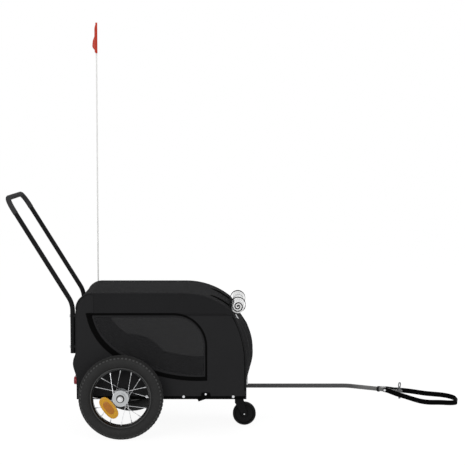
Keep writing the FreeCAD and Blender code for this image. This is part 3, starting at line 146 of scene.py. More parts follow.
def grained(name, colour, rough, grain, depth, metal=0.0, **sockets):
    """A moulded, coated, foamed or machined surface: an even grain of the given size, and slow wear."""
    made, tree, shader = finish_of(name, colour, rough, metal, **sockets)
    place = add(tree, "ShaderNodeTexCoord", {}, "Object")
    spots = add(tree, "ShaderNodeTexNoise", {"Vector": place, "Scale": 1 / grain, "Detail": 2.0}, "Fac")
    add(tree, "ShaderNodeBump", {"Height": spots, "Distance": depth, "Strength": 0.5},
        "Normal", shader.inputs["Normal"])
    wear = add(tree, "ShaderNodeTexNoise", {"Vector": place, "Scale": 40.0, "Detail": 3.0}, "Fac")
    add(tree, "ShaderNodeMapRange", {"Value": wear, "To Min": 0.85 * rough, "To Max": 1.15 * rough},
        0, shader.inputs["Roughness"])
    return made


def prismatic_with_glints(name, colour, cell):
    """A moulded reflector: coloured plastic over a field of small prisms, painted paler where they meet as
    painted glints.
    """
    made, tree, shader = finish_of(name, colour, 0.2, Coat_Weight=0.15, Specular_IOR_Level=0.3)
    place = add(tree, "ShaderNodeTexCoord", {}, "Object")
    cells = add(tree, "ShaderNodeTexVoronoi", {"Vector": place, "Scale": 1 / cell}, "Distance")
    add(tree, "ShaderNodeBump", {"Height": cells, "Distance": cell / 3, "Strength": 0.7},
        "Normal", shader.inputs["Normal"])
    # Paler towards each cell's edge: painted glints of the prisms
    add(tree, "ShaderNodeMix", {"Factor": cells, 6: shade(colour, 0.85), 7: shade(colour, 1.25)},
        2, shader.inputs["Base Color"], data_type="RGBA")
    return made


def tow_paint_and_reflection(colour, bend):
    """Satin enamel, painted paler past the bend at the given place along X: a painted reflection on the bent
    end.
    """
    fade, grain, depth = 50 * MM, 2 * MM, 0.03 * MM
    made, tree, shader = finish_of("satin enamelled steel", colour, 0.5, Specular_IOR_Level=0.25)
    place = add(tree, "ShaderNodeTexCoord", {}, "Object")
    along = add(tree, "ShaderNodeSeparateXYZ", {"Vector": place}, "X")
    # From the bend forward the grey fades to a paler one: a painted reflection
    past = add(tree, "ShaderNodeMapRange", {"Value": along, "From Min": bend, "From Max": bend + fade})
    add(tree, "ShaderNodeMix", {"Factor": past, 6: colour, 7: linear("#717170")},
        2, shader.inputs["Base Color"], data_type="RGBA")
    spots = add(tree, "ShaderNodeTexNoise", {"Vector": place, "Scale": 1 / grain}, "Fac")
    add(tree, "ShaderNodeBump", {"Height": spots, "Distance": depth, "Strength": 0.5},
        "Normal", shader.inputs["Normal"])
    return made


FINISH = {}


class TRAILER_OT_finishes(bpy.types.Operator):
    """Make the finishes, and dress each CAD node in the one that its material slot names"""
    bl_idname = "trailer.finishes"
    bl_label = "Make the finishes"

    def execute(self, context):
        colours = context.scene.trailer.colours
        self.cloths(colours)
        self.metals(colours)
        self.mouldings(colours)
        for row in frame["record"]["subparts"]:
            mesh = frame["nodes"][row["node"]].data
            mesh.materials.clear()
            slot = "pin_steel" if row["node"] == "hitch_pin" else row["material_slot"]
            mesh.materials.append(FINISH[slot])
        return {"FINISHED"}

    def cloths(self, colours):
        # The cover's real threads are 0.5 mm apart; they are drawn 2 mm apart, so that a near view
        # shows them
        weave = 2 * MM
        FINISH.update({
            # Polyester, plain-woven and coated inside: flat near-black with a hint of threads
            "cover_cloth": woven("coated woven polyester", colours.cover, weave, "XZ"),
            # The roof takes the same cloth painted darker: painted shade, so that its top, which catches
            # more of the lamps' light, looks as dark as the sides
            "roof_cloth": woven("coated woven polyester, roof, painted shade", colours.roof, weave, "XY"),
            "front_cloth": woven("coated woven polyester, ends", colours.cover, weave, "YZ"),
            # Polyester, warp-knitted: a fine dark net that half shows the far side's daylight
            "mesh": netting("warp-knitted polyester", colours.netting, 1.6 * MM, 0.93, 0.80),
            # Nylon, woven into flat tape: the deepest black, with a coarse rib
            "webbing": woven("woven nylon webbing", colours.webbing, 1.2 * MM, "XZ"),
            # Nylon taffeta, woven thin: an even bright red-orange with a slight sheen; its 0.2 mm threads
            # are drawn 1 mm apart so that they show
            "pennant": woven("woven nylon taffeta", colours.pennant, 1.0 * MM, "YZ", 0.7, 0.2),
        })

    def metals(self, colours):
        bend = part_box("tow_bar")[1].x - 190 * MM
        FINISH.update({
            # Steel tube, powder-coated: dull black with a fine orange peel
            "black_tube": grained("powder-coated steel", colours.tube, 0.5, 0.9 * MM, 0.03 * MM,
                                  Specular_IOR_Level=0.08),
            # Steel tube, enamelled: satin grey, painted paler past the bend as a painted reflection on the
            # bent end
            "grey_tube": tow_paint_and_reflection(colours.tow, bend),
            # Steel rim, gloss-painted: black with a clean highlight
            "black_rim": grained("gloss-painted steel", linear("#0d0d0e"), 0.25, 2 * MM, 0.01 * MM,
                                 Coat_Weight=0.3),
            # Aluminium, turned: pale satin metal
            "hub_shell": grained("turned aluminium", linear("#b4b6b8"), 0.3, 0.6 * MM, 0.02 * MM, 1.0),
            # Steel, forged and oiled: darker grey metal
            "pin_steel": grained("forged steel", linear("#6f7072"), 0.35, 0.8 * MM, 0.02 * MM, 1.0),
            # Steel, zinc-plated: bright cool metal
            "zinc": grained("zinc-plated steel", linear("#d2d3d5"), 0.28, 0.8 * MM, 0.02 * MM, 1.0),
        })

    def mouldings(self, colours):
        FINISH.update({
            # Rubber, moulded: dark grey and dull; the shoulder knobs' tops are painted paler, a painted
            # highlight where light catches them
            "tyre": grained("moulded rubber", colours.tyre, 0.7, 1.2 * MM, 0.06 * MM,
                            Specular_IOR_Level=0.3),
            "tyre_knob_highlight": grained("moulded rubber, painted highlight", linear("#454545"), 0.8, 1.2 * MM, 0.06 * MM,
                                 Specular_IOR_Level=0.2),
            "seal": grained("moulded rubber, seal", linear("#131313"), 0.5, 0.8 * MM, 0.02 * MM),
            # PVC, calendered into soft film: clear but wavy; its near-white, mostly opaque colour is a
            # painted reflection, the silvery white that a roll of it shows
            "clear_film": grained("calendered PVC film", linear("#f6f7f7"), 0.15, 12 * MM, 0.3 * MM,
                                  Transmission_Weight=0.25, IOR=1.2),
            # The roll's film edges: opaque white, a painted highlight on the ends of its turns
            "film_edge_highlight": grained("calendered PVC film, painted highlight", linear("#fafafa"), 0.3, 6 * MM, 0.1 * MM),
            # Acrylic, moulded with prisms on its back: clear colour broken into cells that sparkle, painted
            # paler where they meet as painted glints
            "amber": prismatic_with_glints("moulded acrylic, amber", colours.amber, 3 * MM),
            "amber_lens": prismatic_with_glints("moulded acrylic, amber lens", linear("#ad6a0e"), 2.2 * MM),
            "red": prismatic_with_glints("moulded acrylic, red", colours.red, 3 * MM),
            "white": prismatic_with_glints("moulded acrylic, clear", linear("#e9ebec"), 3 * MM),
            # EVA, foamed with closed cells: soft dark grey with open pores; its grey, paler than the tubes',
            # is painted light falling on the grip from above
            "foam": grained("foamed EVA, painted paler", linear("#3b3b3c"), 0.95, 1.6 * MM, 0.2 * MM,
                            Specular_IOR_Level=0.1),
            # Nylon, injection-moulded: black with a fine spark-eroded grain
            "black_plastic": grained("moulded nylon", linear("#121213"), 0.55, 0.9 * MM, 0.04 * MM,
                                     Specular_IOR_Level=0.1),
            # Hardboard, pressed and covered: dull black
            "board": grained("pressed hardboard", linear("#101010"), 0.9, 1 * MM, 0.05 * MM,
                             Specular_IOR_Level=0.1),
            # Glass fibre in resin, pultruded: off-white and smooth along its length
            "pole": grained("pultruded glass fibre", linear("#f6f6f4"), 0.45, 4 * MM, 0.02 * MM,
                            Specular_IOR_Level=0.1),
            # PVC, extruded over wire: smooth black
            "cord": grained("extruded PVC", linear("#0d0d0d"), 0.4, 1.5 * MM, 0.01 * MM),
        })


# Meshes

# Points nearer to each other than this are one point
WELD = 1e-6


def placed(name, data):
    """A new object in the scene."""
    item = bpy.data.objects.new(name, data)
    bpy.context.scene.collection.objects.link(item)
    return item


def shown(mesh, finish, body, node=None):
    """A new piece, named as its mesh is. It moves with a CAD body, and may stand for a CAD node."""
    piece = placed(mesh.name, mesh)
    mesh.materials.append(FINISH[finish])
    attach(piece, body)
    if node:
        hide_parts(node)
    return piece


def smooth(mesh, angle):
    """Smooth shading, apart from edges that bend by more than an angle in degrees."""
    mesh.shade_smooth()
    mesh.set_sharp_from_angle(angle=math.radians(angle))


def from_rows(name, rows, closed=False):
    """A mesh through rows of points; each row joins the next, and closed joins the last to the first."""
    count = len(rows[0])
    points = [point for row in rows for point in row]
    last = len(rows) if closed else len(rows) - 1
    faces = []
    for row in range(last):
        after = (row + 1) % len(rows)
        for place in range(count - 1):
            faces.append((row * count + place, row * count + place + 1,
                          after * count + place + 1, after * count + place))
    mesh = bpy.data.meshes.new(name)
    mesh.from_pydata(points, [], faces)
    mesh.update()
    return mesh


def from_net(net, mesh):
    """Puts an edited net into a mesh."""
    net.to_mesh(mesh)
    net.free()
    return mesh


def net_of(mesh):
    net = bmesh.new()
    net.from_mesh(mesh)
    return net


def sliced(node, name, cuts, fold=None):
    """A CAD node's surface cut into a fine net along the given axes, then moved point by point by fold."""
    net = net_of(frame["nodes"][node].data)
    bmesh.ops.remove_doubles(net, verts=net.verts, dist=2 * WELD)
    low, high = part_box(node)
    miss = 0.37  # part of a step by which the cuts miss the node's own corners
    for axis, step in cuts:
        normal = Vector([float(place == axis) for place in range(3)])
        for index in range(1, int((high[axis] - low[axis]) / step) + 1):
            at = normal * (low[axis] + (index - miss) * step)
            bmesh.ops.bisect_plane(net, geom=net.verts[:] + net.edges[:] + net.faces[:], dist=WELD,
                                   plane_co=at, plane_no=normal)
    if fold:
        for point in net.verts:
            point.co += fold(point.co)
    mesh = from_net(net, bpy.data.meshes.new(name))
    smooth(mesh, 50)
    return mesh


def full_turn(count):
    """The angles of equal steps round a full turn."""
    return [math.tau * step / count for step in range(count)]


def turned(name, profile, centre, axis, count):
    """A closed profile of (radius, along) points turned about an axis."""
    along = axis.normalized()
    first = along.orthogonal().normalized()
    second = along.cross(first)
    rows = []
    for angle in full_turn(count):
        outward = math.cos(angle) * first + math.sin(angle) * second
        rows.append([centre + radius * outward + shift * along for radius, shift in profile + profile[:1]])
    mesh = from_rows(name, rows, closed=True)
    net = net_of(mesh)
    bmesh.ops.remove_doubles(net, verts=net.verts, dist=WELD)
    bmesh.ops.recalc_face_normals(net, faces=net.faces)
    from_net(net, mesh)
    smooth(mesh, 40)
    return mesh


def curve_mesh(name, kind, points, radius=0.0, sides=8):
    """The mesh of a curve: a bare line, or a round tube where it has a radius."""
    curve = bpy.data.curves.new(name, "CURVE")
    curve.dimensions = "3D"
    curve.bevel_depth = radius
    curve.bevel_resolution = sides // 4
    curve.use_fill_caps = True
    spline = curve.splines.new(kind)
    spline.points.add(len(points) - 1)
    for control, point in zip(spline.points, points):
        control.co = (*point, 1.0)
    spline.order_u = 3
    spline.use_endpoint_u = True
    spline.resolution_u = 6
    holder = bpy.data.objects.new(name, curve)
    mesh = bpy.data.meshes.new_from_object(holder)
    bpy.data.objects.remove(holder)
    bpy.data.curves.remove(curve)
    return mesh


def tube_mesh(name, points, radius, sides=8):
    """A round tube through points."""
    mesh = curve_mesh(name, "POLY", points, radius, sides)
    mesh.name = name
    mesh.materials.clear()
    smooth(mesh, 50)
    return mesh


def ramp(value, low, high):
    """0 below low, 1 above high, and a smooth rise between."""
    share = min(max((value - low) / (high - low), 0.0), 1.0)
    return share * share * (3 - 2 * share)


def hump(value, low, top, fall, high):
    """0 at both ends, 1 from top to fall, and smooth between."""
    return ramp(value, low, top) * (1 - ramp(value, fall, high))


# Sizes and colours

def length(name, description, default):
    return bpy.props.FloatProperty(name=name, description=description, default=default, precision=4,
                                   subtype="DISTANCE", unit="LENGTH")


def colour(name, description, code):
    return bpy.props.FloatVectorProperty(name=name, description=description, default=linear(code), size=4,
                                         min=0.0, max=1.0, subtype="COLOR")


class FinishColours(bpy.types.PropertyGroup):
    cover: colour("Cover", "Cloth of the sides and ends", "#2a2a2b")
    # The roof's cloth is the sides' cloth painted darker, as painted shade against the light that its top
    # catches
    roof: colour("Roof", "Cloth of the roof", "#252526")
    netting: colour("Netting", "Windows' netting", "#262627")
    webbing: colour("Webbing", "Straps, tapes and bindings", "#080808")
    pennant: colour("Pennant", "Flag on the pole", "#e0462f")
    tube: colour("Tubes", "Frame, hoops and handle", "#131314")
    tow: colour("Tow bar", "Tow bar's enamel", "#4c4c4d")
    tyre: colour("Tyres", "Rubber of the tyres", "#1c1c1c")
    amber: colour("Wheel reflectors", "Reflectors between the spokes", "#cc9410")
    red: colour("Rear reflectors", "Reflectors on the rear panel", "#8f1220")


class CoverSizes(bpy.types.PropertyGroup):
    net: length("Cloth net", "Spacing of the cloth's points", 0.012)
    side_fold: length("Side slack", "How far a side's slack cloth stands out", 0.0025)
    front_fold: length("Front folds", "Height of the gathers across the front", 0.005)
    roof_fold: length("Roof slack", "How far the roof's slack cloth stands up", 0.0015)
    piping: length("Piping", "Radius of the piping along the roof's edges", 0.0021)
    tape: length("Tape", "How far the windows' tape stands out", 0.0009)
    stitch: length("Stitches", "Distance from one stitch to the next", 0.0045)
    hem: length("Hem", "Height of the tape along a side's lower edge", 0.0112)


class RollSizes(bpy.types.PropertyGroup):
    turns: bpy.props.FloatProperty(name="Turns", description="Turns in the rolled flap", default=2.4)
    pitch: length("Pitch", "Distance from one turn to the next", 0.0088)
    radius: length("Radius", "Outer radius of the roll", 0.026)
    waver: length("Waver", "How unevenly the film is rolled", 0.0008)


class WheelSizes(bpy.types.PropertyGroup):
    around: bpy.props.IntProperty(name="Points", description="Points round a tyre", default=144)
    knobs: bpy.props.IntProperty(name="Knobs", description="Knobs in each row of the tread", default=66)
    knob_height: length("Knob height", "How far a knob stands up", 0.0015)
    reflector: bpy.props.FloatVectorProperty(
        name="Reflector", description="Length and width of a wheel's reflector", default=(0.086, 0.043),
        size=2, precision=4, subtype="XYZ_LENGTH", unit="LENGTH")


class StageSizes(bpy.types.PropertyGroup):
    eye: bpy.props.FloatVectorProperty(
        name="Camera", description="Where the camera stands", default=(-0.0154, -4.9975, 1.103), precision=4,
        subtype="TRANSLATION", unit="LENGTH")
    pitch: bpy.props.FloatProperty(
        name="Pitch", description="How far the camera looks down", default=math.radians(4.465), precision=4,
        subtype="ANGLE", unit="ROTATION")
    lens: bpy.props.FloatProperty(
        name="Lens", description="The camera's focal length", default=105.96, precision=3, unit="CAMERA")


class TrailerSizes(bpy.types.PropertyGroup):
    colours: bpy.props.PointerProperty(type=FinishColours)
    cover: bpy.props.PointerProperty(type=CoverSizes)
    roll: bpy.props.PointerProperty(type=RollSizes)
    wheel: bpy.props.PointerProperty(type=WheelSizes)
    stage: bpy.props.PointerProperty(type=StageSizes)


# The cabin's outline and window, seen from the side: metres, X counted from the axle line

def middle_of(node):
    low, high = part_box(node)
    return (low + high) / 2


AXLE = middle_of("left_rim")
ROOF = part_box("roof_cover")[1].z
FLAP_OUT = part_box("roof_cover")[1].y
PANEL_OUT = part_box("left_side_panel")[1].y
# The roof's rear edge and where its brow starts, and the radii of its rear corner, its brow and its crest
REAR_EDGE, BROW_START = -0.161, 0.217
CORNER, BROW, CREST = 0.056, 0.264, 0.060
# How far round the brow and the crest go, counted from straight up
BROW_TURN = math.radians(37.3)
CREST_TURN = BROW_TURN + math.radians(22.7)


def off(centre, radius, turn):
    """A point on an arc in the XZ plane: the turn is counted from straight up, positive forward."""
    return centre + Vector((radius * math.sin(turn), 0, radius * math.cos(turn)))


BROW_MIDDLE = Vector((AXLE.x + BROW_START, 0, ROOF - BROW))
CREST_MIDDLE = off(BROW_MIDDLE, BROW - CREST, BROW_TURN)


def roof_line(count):
    """Points along the roof's edge, from the rear corner over the brow to the crest."""
    rear = Vector((AXLE.x + REAR_EDGE + CORNER, 0, ROOF - CORNER))
    line = [off(rear, CORNER, -math.pi / 2 * (1 - step / count)) for step in range(count + 1)]
    line += [off(BROW_MIDDLE, BROW, BROW_TURN * step / count) for step in range(count + 1)]
    line += [off(CREST_MIDDLE, CREST, BROW_TURN + (CREST_TURN - BROW_TURN) * step / count)
             for step in range(1, count + 1)]
    return line


# The window's middle, its top and front edge, the radius of the corner between them, and the width of the
# tape there and along the sill
WINDOW_MIDDLE = (0.090, 0.335)
WINDOW_TOP, WINDOW_FRONT, WINDOW_CORNER = 0.4425, 0.303, 0.120
WINDOW_TRIM, WINDOW_SILL = 0.0075, 0.0165
# Three points of the sill's low arc, and the point where its high arc meets the top edge
SILL = ((0.303, 0.2003), (0.157, 0.2115), (-0.026, 0.287))
HEAD = (-0.1265, 0.4425)
# The sill's tape narrows by a share of its width between two directions from the window's middle
SILL_WIDTH, SILL_LOSS, SILL_FROM, SILL_TO = 1.2, 0.28, math.radians(185), math.radians(235)


def circle_through(first, second, third):
    """Centre and radius of the circle through three points."""
    ax, az = second[0] - first[0], second[1] - first[1]
    bx, bz = third[0] - first[0], third[1] - first[1]
    cross = 2 * (ax * bz - az * bx)
    x = (bz * (ax * ax + az * az) - az * (bx * bx + bz * bz)) / cross
    z = (ax * (bx * bx + bz * bz) - bx * (ax * ax + az * az)) / cross
    return (first[0] + x, first[1] + z), math.hypot(x, z)


def sill_circles():
    """The window's low arc, and the high arc that carries on from its end to the head."""
    low, low_radius = circle_through(*SILL)
    knee = SILL[2]
    inward = ((low[0] - knee[0]) / low_radius, (low[1] - knee[1]) / low_radius)
    chord = (knee[0] - HEAD[0], knee[1] - HEAD[1])
    radius = -(chord[0] ** 2 + chord[1] ** 2) / (2 * (inward[0] * chord[0] + inward[1] * chord[1]))
    high = (knee[0] + radius * inward[0], knee[1] + radius * inward[1])
    return (low, low_radius), (high, radius), inward


def leaving(direction, centre, radius):
    """How far a ray from the window's middle goes before it leaves a circle."""
    dx, dz = WINDOW_MIDDLE[0] - centre[0], WINDOW_MIDDLE[1] - centre[1]
    along = dx * direction[0] + dz * direction[1]
    return -along + math.sqrt(along * along - dx * dx - dz * dz + radius * radius)


def window_edge(angle, trim, sill):
    """The point of the window's edge in one direction from its middle, moved inwards by trim or sill."""
    sill *= SILL_WIDTH - SILL_LOSS * ramp(angle, SILL_FROM, SILL_TO)
    direction = (math.cos(angle), math.sin(angle))
    reach = [1.0]
    if direction[1] > 0:
        reach.append((WINDOW_TOP - trim - WINDOW_MIDDLE[1]) / direction[1])
    if direction[0] > 0:
        reach.append((WINDOW_FRONT - trim - WINDOW_MIDDLE[0]) / direction[0])
    nearest = min(reach)
    corner = (WINDOW_FRONT - WINDOW_CORNER, WINDOW_TOP - WINDOW_CORNER)
    if (WINDOW_MIDDLE[0] + nearest * direction[0] > corner[0]
            and WINDOW_MIDDLE[1] + nearest * direction[1] > corner[1]):
        nearest = leaving(direction, corner, WINDOW_CORNER - trim)
    (low, low_radius), (high, high_radius), inward = sill_circles()
    knee = SILL[2][0] + sill * inward[0]
    sill_reach = leaving(direction, high, high_radius - sill)
    if WINDOW_MIDDLE[0] + sill_reach * direction[0] > knee:
        sill_reach = leaving(direction, low, low_radius - sill)
    nearest = min(nearest, sill_reach)
    return (AXLE.x + WINDOW_MIDDLE[0] + nearest * direction[0], WINDOW_MIDDLE[1] + nearest * direction[1])


# Half of a stitch's length, width and height
STITCH = (0.0016, 0.0005, 0.0004)


def stitches(name, places, finish, body):
    """Short raised stitches: each place is a point, the seam's direction and the cloth's normal."""
    net = bmesh.new()
    shape = Matrix.Diagonal((*STITCH, 1.0))
    lift = 0.2 * STITCH[Z]
    for point, along, normal in places:
        aside = normal.cross(along).normalized()
        turn = Matrix((along.normalized(), aside, normal.normalized())).transposed().to_4x4()
        made = bmesh.ops.create_icosphere(net, subdivisions=1, radius=1.0,
                                          matrix=Matrix.Translation(point) @ turn @ shape)
        for vertex in made["verts"]:
            vertex.co += normal * lift
    mesh = from_net(net, bpy.data.meshes.new(name))
    mesh.shade_smooth()
    return shown(mesh, finish, body)


# Heights between which cloth is slack: where that starts, is full, wanes and ends
SIDE_SLACK = (0.185, 0.25, 0.40, 0.428)
REAR_SLACK = (0.15, 0.25, 0.38, 0.44)
FRONT_SLACK = (0.19, 0.27, 0.37, 0.41)
DOOR_SLACK = (0.20, 0.27, 0.37, 0.42)
# Distances from the trailer's middle over which slack cloth comes to be held
REAR_HELD, FRONT_HELD, ROOF_HELD = (0.10, 0.16), (0.155, 0.185), (0.15, 0.185)
# Distances forward of the axle line over which the roof's cloth comes to be slack
ROOF_SLACK = (-0.10, -0.04)
# Heights over which the windows' tape climbs on to the roof's flap
FLAP_EDGE = (0.430, 0.4345)
# Cloth puffed out at the right rear corner: how far, the heights where it rises, falls in and ends, the
# share by which it falls in, and the distances over which it fades along the side and across the rear
SWELL, SWELL_RISE, SWELL_DIP, SWELL_END = 0.0125, (0.205, 0.262), (0.266, 0.296), (0.43, 0.47)
SWELL_LOSS, SWELL_ALONG, SWELL_ACROSS = 0.72, (-0.156, -0.10), (0.04, 0.17)
# The front doors' zips: their lowest and highest point, and the spacing of their own points
ZIP_FOOT, ZIP_HEAD, ZIP_STEP = 0.16, 0.43, 0.013


def uneven(x, y, z):
    """A smooth random height from 0 to 1."""
    return 0.5 + 0.5 * noise.noise(Vector((x, y, z)))


def panel_fold(x, z, sign, depth):
    """How far a side panel's slack cloth stands out of its plane."""
    return depth * hump(z, *SIDE_SLACK) * uneven(9 * x + sign, 0.3, 7 * z - 4 * x)


def tape_seat(x, z, sign, depth):
    """Where the window's tape lies: on the panel's slack cloth, and at its top on the roof's flap."""
    on_flap = (FLAP_OUT + 0.2 * MM - PANEL_OUT) * ramp(z, *FLAP_EDGE)
    return PANEL_OUT + panel_fold(x, z, sign, depth) + on_flap


def rear_swell(z):
    """How far the cloth puffs out behind the right rear corner, under the handle's foot, at a height."""
    return SWELL * ramp(z, *SWELL_RISE) * (1 - SWELL_LOSS * ramp(z, *SWELL_DIP)) * (1 - ramp(z, *SWELL_END))


class TRAILER_OT_cover(bpy.types.Operator):
    """Cloth panels with their folds, hems and zips, and the roof with its piping"""
    bl_idname = "trailer.cover"
    bl_label = "Build the cover"

    def execute(self, context):
        sizes = context.scene.trailer.cover
        for side, sign in SIDES.items():
            self.side_panel(side, sign, sizes)
        self.rear_panel(sizes)
        self.front_panel(sizes)
        self.roof(sizes)
        return {"FINISHED"}

    def side_panel(self, side, sign, sizes):
        def fold(point):
            slack = panel_fold(point.x, point.z, sign, sizes.side_fold)
            back = 1 - ramp(point.x - AXLE.x, *SWELL_ALONG)
            swell = rear_swell(point.z) * back if side == "right" else 0.0
            return Vector((-swell, sign * slack, 0))

        node = f"{side}_side_panel"
        mesh = sliced(node, f"{side}_panel_cloth", ((X, sizes.net), (Z, sizes.net)), fold)
        piece = shown(mesh, "cover_cloth", "frame", node)
        low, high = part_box(node)
        edge = sign * (PANEL_OUT + 0.1 * MM)
        section = ((0.0, -0.0006), (0.0, 0.0), (0.1, 0.0002), (0.9, 0.0002), (1.0, 0.0))
        tape = [[(x, edge + sign * lift, low.z + rise * sizes.hem) for rise, lift in section]
                for x in (low.x + (high.x - low.x) * step / 40 for step in range(41))]
        hem = shown(from_rows(f"{side}_hem", tape), "webbing", "frame")
        self.zip(side, sign, mesh)

    def zip(self, side, sign, panel):
        """The front door's zip beside the panel's front edge, with its slider and puller at the top."""
        front = {}
        for point in (vertex.co for vertex in panel.vertices):
            level = int(point.z / ZIP_STEP)
            if ZIP_FOOT < point.z < ZIP_HEAD and (level not in front or point.x > front[level].x):
                front[level] = point
        inset, out, lap, slack = 3.5 * MM, 0.6 * MM, 4.5 * MM, 3.5 * MM
        coil = [Vector((front[level].x - inset, sign * (PANEL_OUT + out), front[level].z))
                for level in sorted(front)]
        tape = []
        for point in coil:
            past = lap + slack * hump(point.z, *DOOR_SLACK)
            tape.append([point + Vector((reach, sign * lift, 0)) for reach, lift in
                         ((-lap, -0.0006), (-0.004, -0.0002), (inset, -0.0002), (past, -0.0022))])
        top = Vector((AXLE.x + 0.4015, sign * (FLAP_OUT + 1.2 * MM), 0.4405))
        down = Vector((0.0115, 0, -0.0165))
        aside = Vector((-down.z, 0, down.x)).normalized()
        loop = [top + down * (0.5 - 0.5 * math.cos(angle)) + aside * (1.4 * MM * math.sin(angle))
                for angle in (math.tau * step / 24 for step in range(25))]
        slider = [(0.0, 0.0014), (0.002, 0.0012), (0.003, 0.0), (0.003, -0.0012), (0.0, -0.0012)]
        return [shown(mesh, finish, "frame") for mesh, finish in (
            (tube_mesh(f"{side}_zip_coil", coil, 1.4 * MM), "webbing"),
            (from_rows(f"{side}_zip_tape", tape), "cover_cloth"),
            (tube_mesh(f"{side}_zip_puller", loop, 0.6 * MM), "zinc"),
            (turned(f"{side}_zip_slider", slider, top, Vector((0, sign, 0)), 20), "black_plastic"))]

    def rear_panel(self, sizes):
        def fold(point):
            held = (1 - ramp(abs(point.y), *REAR_HELD)) * hump(point.z, *REAR_SLACK)
            slack = sizes.side_fold * held * uneven(0.7, 9 * point.y, 6 * point.z)
            swell = rear_swell(point.z) * ramp(-point.y, *SWELL_ACROSS)
            return Vector((-slack - swell, 0, 0))

        mesh = sliced("rear_panel", "rear_cloth", ((Y, sizes.net), (Z, sizes.net)), fold)
        piece = shown(mesh, "front_cloth", "frame", "rear_panel")

    def front_panel(self, sizes):
        # From one gather to the next, how far they lean, and the height that they lean from
        gather, slant, level = 0.062, 0.25, 0.3

        def fold(point):
            held = (1 - ramp(abs(point.y), *FRONT_HELD)) * hump(point.z, *FRONT_SLACK)
            lean = point.y + slant * (point.z - level) * math.copysign(1.0, point.y)
            ridge = 0.5 + 0.5 * math.sin(math.tau * lean / gather + 0.8 * math.sin(17 * point.z))
            return Vector((sizes.front_fold * held * ridge ** 2, 0, 0))

        mesh = sliced("front_panel", "front_cloth", ((Y, sizes.net / 2), (Z, sizes.net)), fold)
        piece = shown(mesh, "front_cloth", "frame", "front_panel")

    def roof(self, sizes):
        def fold(point):
            held = (1 - ramp(abs(point.y), *ROOF_HELD)) * ramp(point.x - AXLE.x, *ROOF_SLACK)
            return Vector((0, 0, sizes.roof_fold * held * uneven(6 * point.x, 8 * point.y, 0.2)))

        mesh = sliced("roof_cover", "roof_cloth", ((X, sizes.net), (Y, sizes.net), (Z, 0.02)), fold)
        piece = shown(mesh, "roof_cloth", "frame", "roof_cover")
        for side, sign in SIDES.items():
            edge = [point + Vector((0, sign * (FLAP_OUT - 1 * MM), 0)) for point in roof_line(14)]
            cord = tube_mesh(f"{side}_roof_piping", edge, sizes.piping)
            shown(cord, "cover_cloth", "frame")


class TRAILER_OT_windows(bpy.types.Operator):
    """Netting, bound edges and their stitching"""
    bl_idname = "trailer.windows"
    bl_label = "Build the windows"

    def execute(self, context):
        sizes = context.scene.trailer.cover
        angles = full_turn(480)
        for side, sign in SIDES.items():
            binding = self.binding(side, sign, angles, sizes)
            net = self.netting(side, sign, angles[::4], sizes)
            seam = self.seams(side, sign, angles, sizes)
        return {"FINISHED"}

    def binding(self, side, sign, angles, sizes):
        """Flat tape round the window. Its section is shares of its width, and how far it stands out."""
        section = [(share, rise * sizes.tape) for share, rise in
                   ((0, 0.00005), (0.12, 0.8), (0.5, 1.0), (0.88, 0.8), (1.0, 0.0))] + [(1.06, -2 * MM)]
        rows = []
        for angle in angles:
            row = []
            for share, lift in section:
                x, z = window_edge(angle, share * WINDOW_TRIM, share * WINDOW_SILL)
                row.append((x, sign * (lift + tape_seat(x, z, sign, sizes.side_fold)), z))
            rows.append(row)
        tape = from_rows(f"{side}_window_binding", rows, closed=True)
        smooth(tape, 60)
        return shown(tape, "webbing", "frame")

    def netting(self, side, sign, angles, sizes):
        middle = Vector((AXLE.x + WINDOW_MIDDLE[0], 0, WINDOW_MIDDLE[1]))
        sag, tuck, rings = 2.5 * MM, 1 * MM, 12
        rows = []
        for angle in angles:
            edge_x, edge_z = window_edge(angle, WINDOW_TRIM - tuck, WINDOW_SILL - tuck)
            row = []
            for step in range(rings + 1):
                share = 1 - step / rings
                place = middle.lerp(Vector((edge_x, 0, edge_z)), share)
                waver = 0.7 + 0.3 * noise.noise(Vector((8 * place.x, sign, 8 * place.z)))
                slack = sag * (1 - share * share) * waver
                out = PANEL_OUT - tuck + slack + panel_fold(place.x, place.z, sign, sizes.side_fold)
                row.append((place.x, sign * out, place.z))
            rows.append(row)
        mesh = from_rows(f"{side}_netting", rows, closed=True)
        net = net_of(mesh)
        bmesh.ops.remove_doubles(net, verts=net.verts, dist=WELD)
        from_net(net, mesh)
        mesh.shade_smooth()
        return shown(mesh, "mesh", "frame", f"{side}_window_mesh")

    def seams(self, side, sign, angles, sizes):
        normal = Vector((0, sign, 0))
        sunk = 0.85  # share of the tape's height at which a stitch lies
        places = []
        for share in (0.2, 0.8):
            edge = [window_edge(angle, share * WINDOW_TRIM, share * WINDOW_SILL) for angle in angles]
            line = [Vector((x, sign * (sunk * sizes.tape + tape_seat(x, z, sign, sizes.side_fold)), z))
                    for x, z in edge]
            gone = sizes.stitch
            for start, end in zip(line, line[1:] + line[:1]):
                gone += (end - start).length
                if gone >= sizes.stitch:
                    gone = 0.0
                    places.append((start, end - start, normal))
        return stitches(f"{side}_window_stitches", places, "webbing", "frame")


# Where the roll lies against its CAD solid, and the turn at which its free edge ends
ROLL_SHIFT = Vector((-0.0025, 0, 0.004))
FREE_EDGE = math.radians(213)


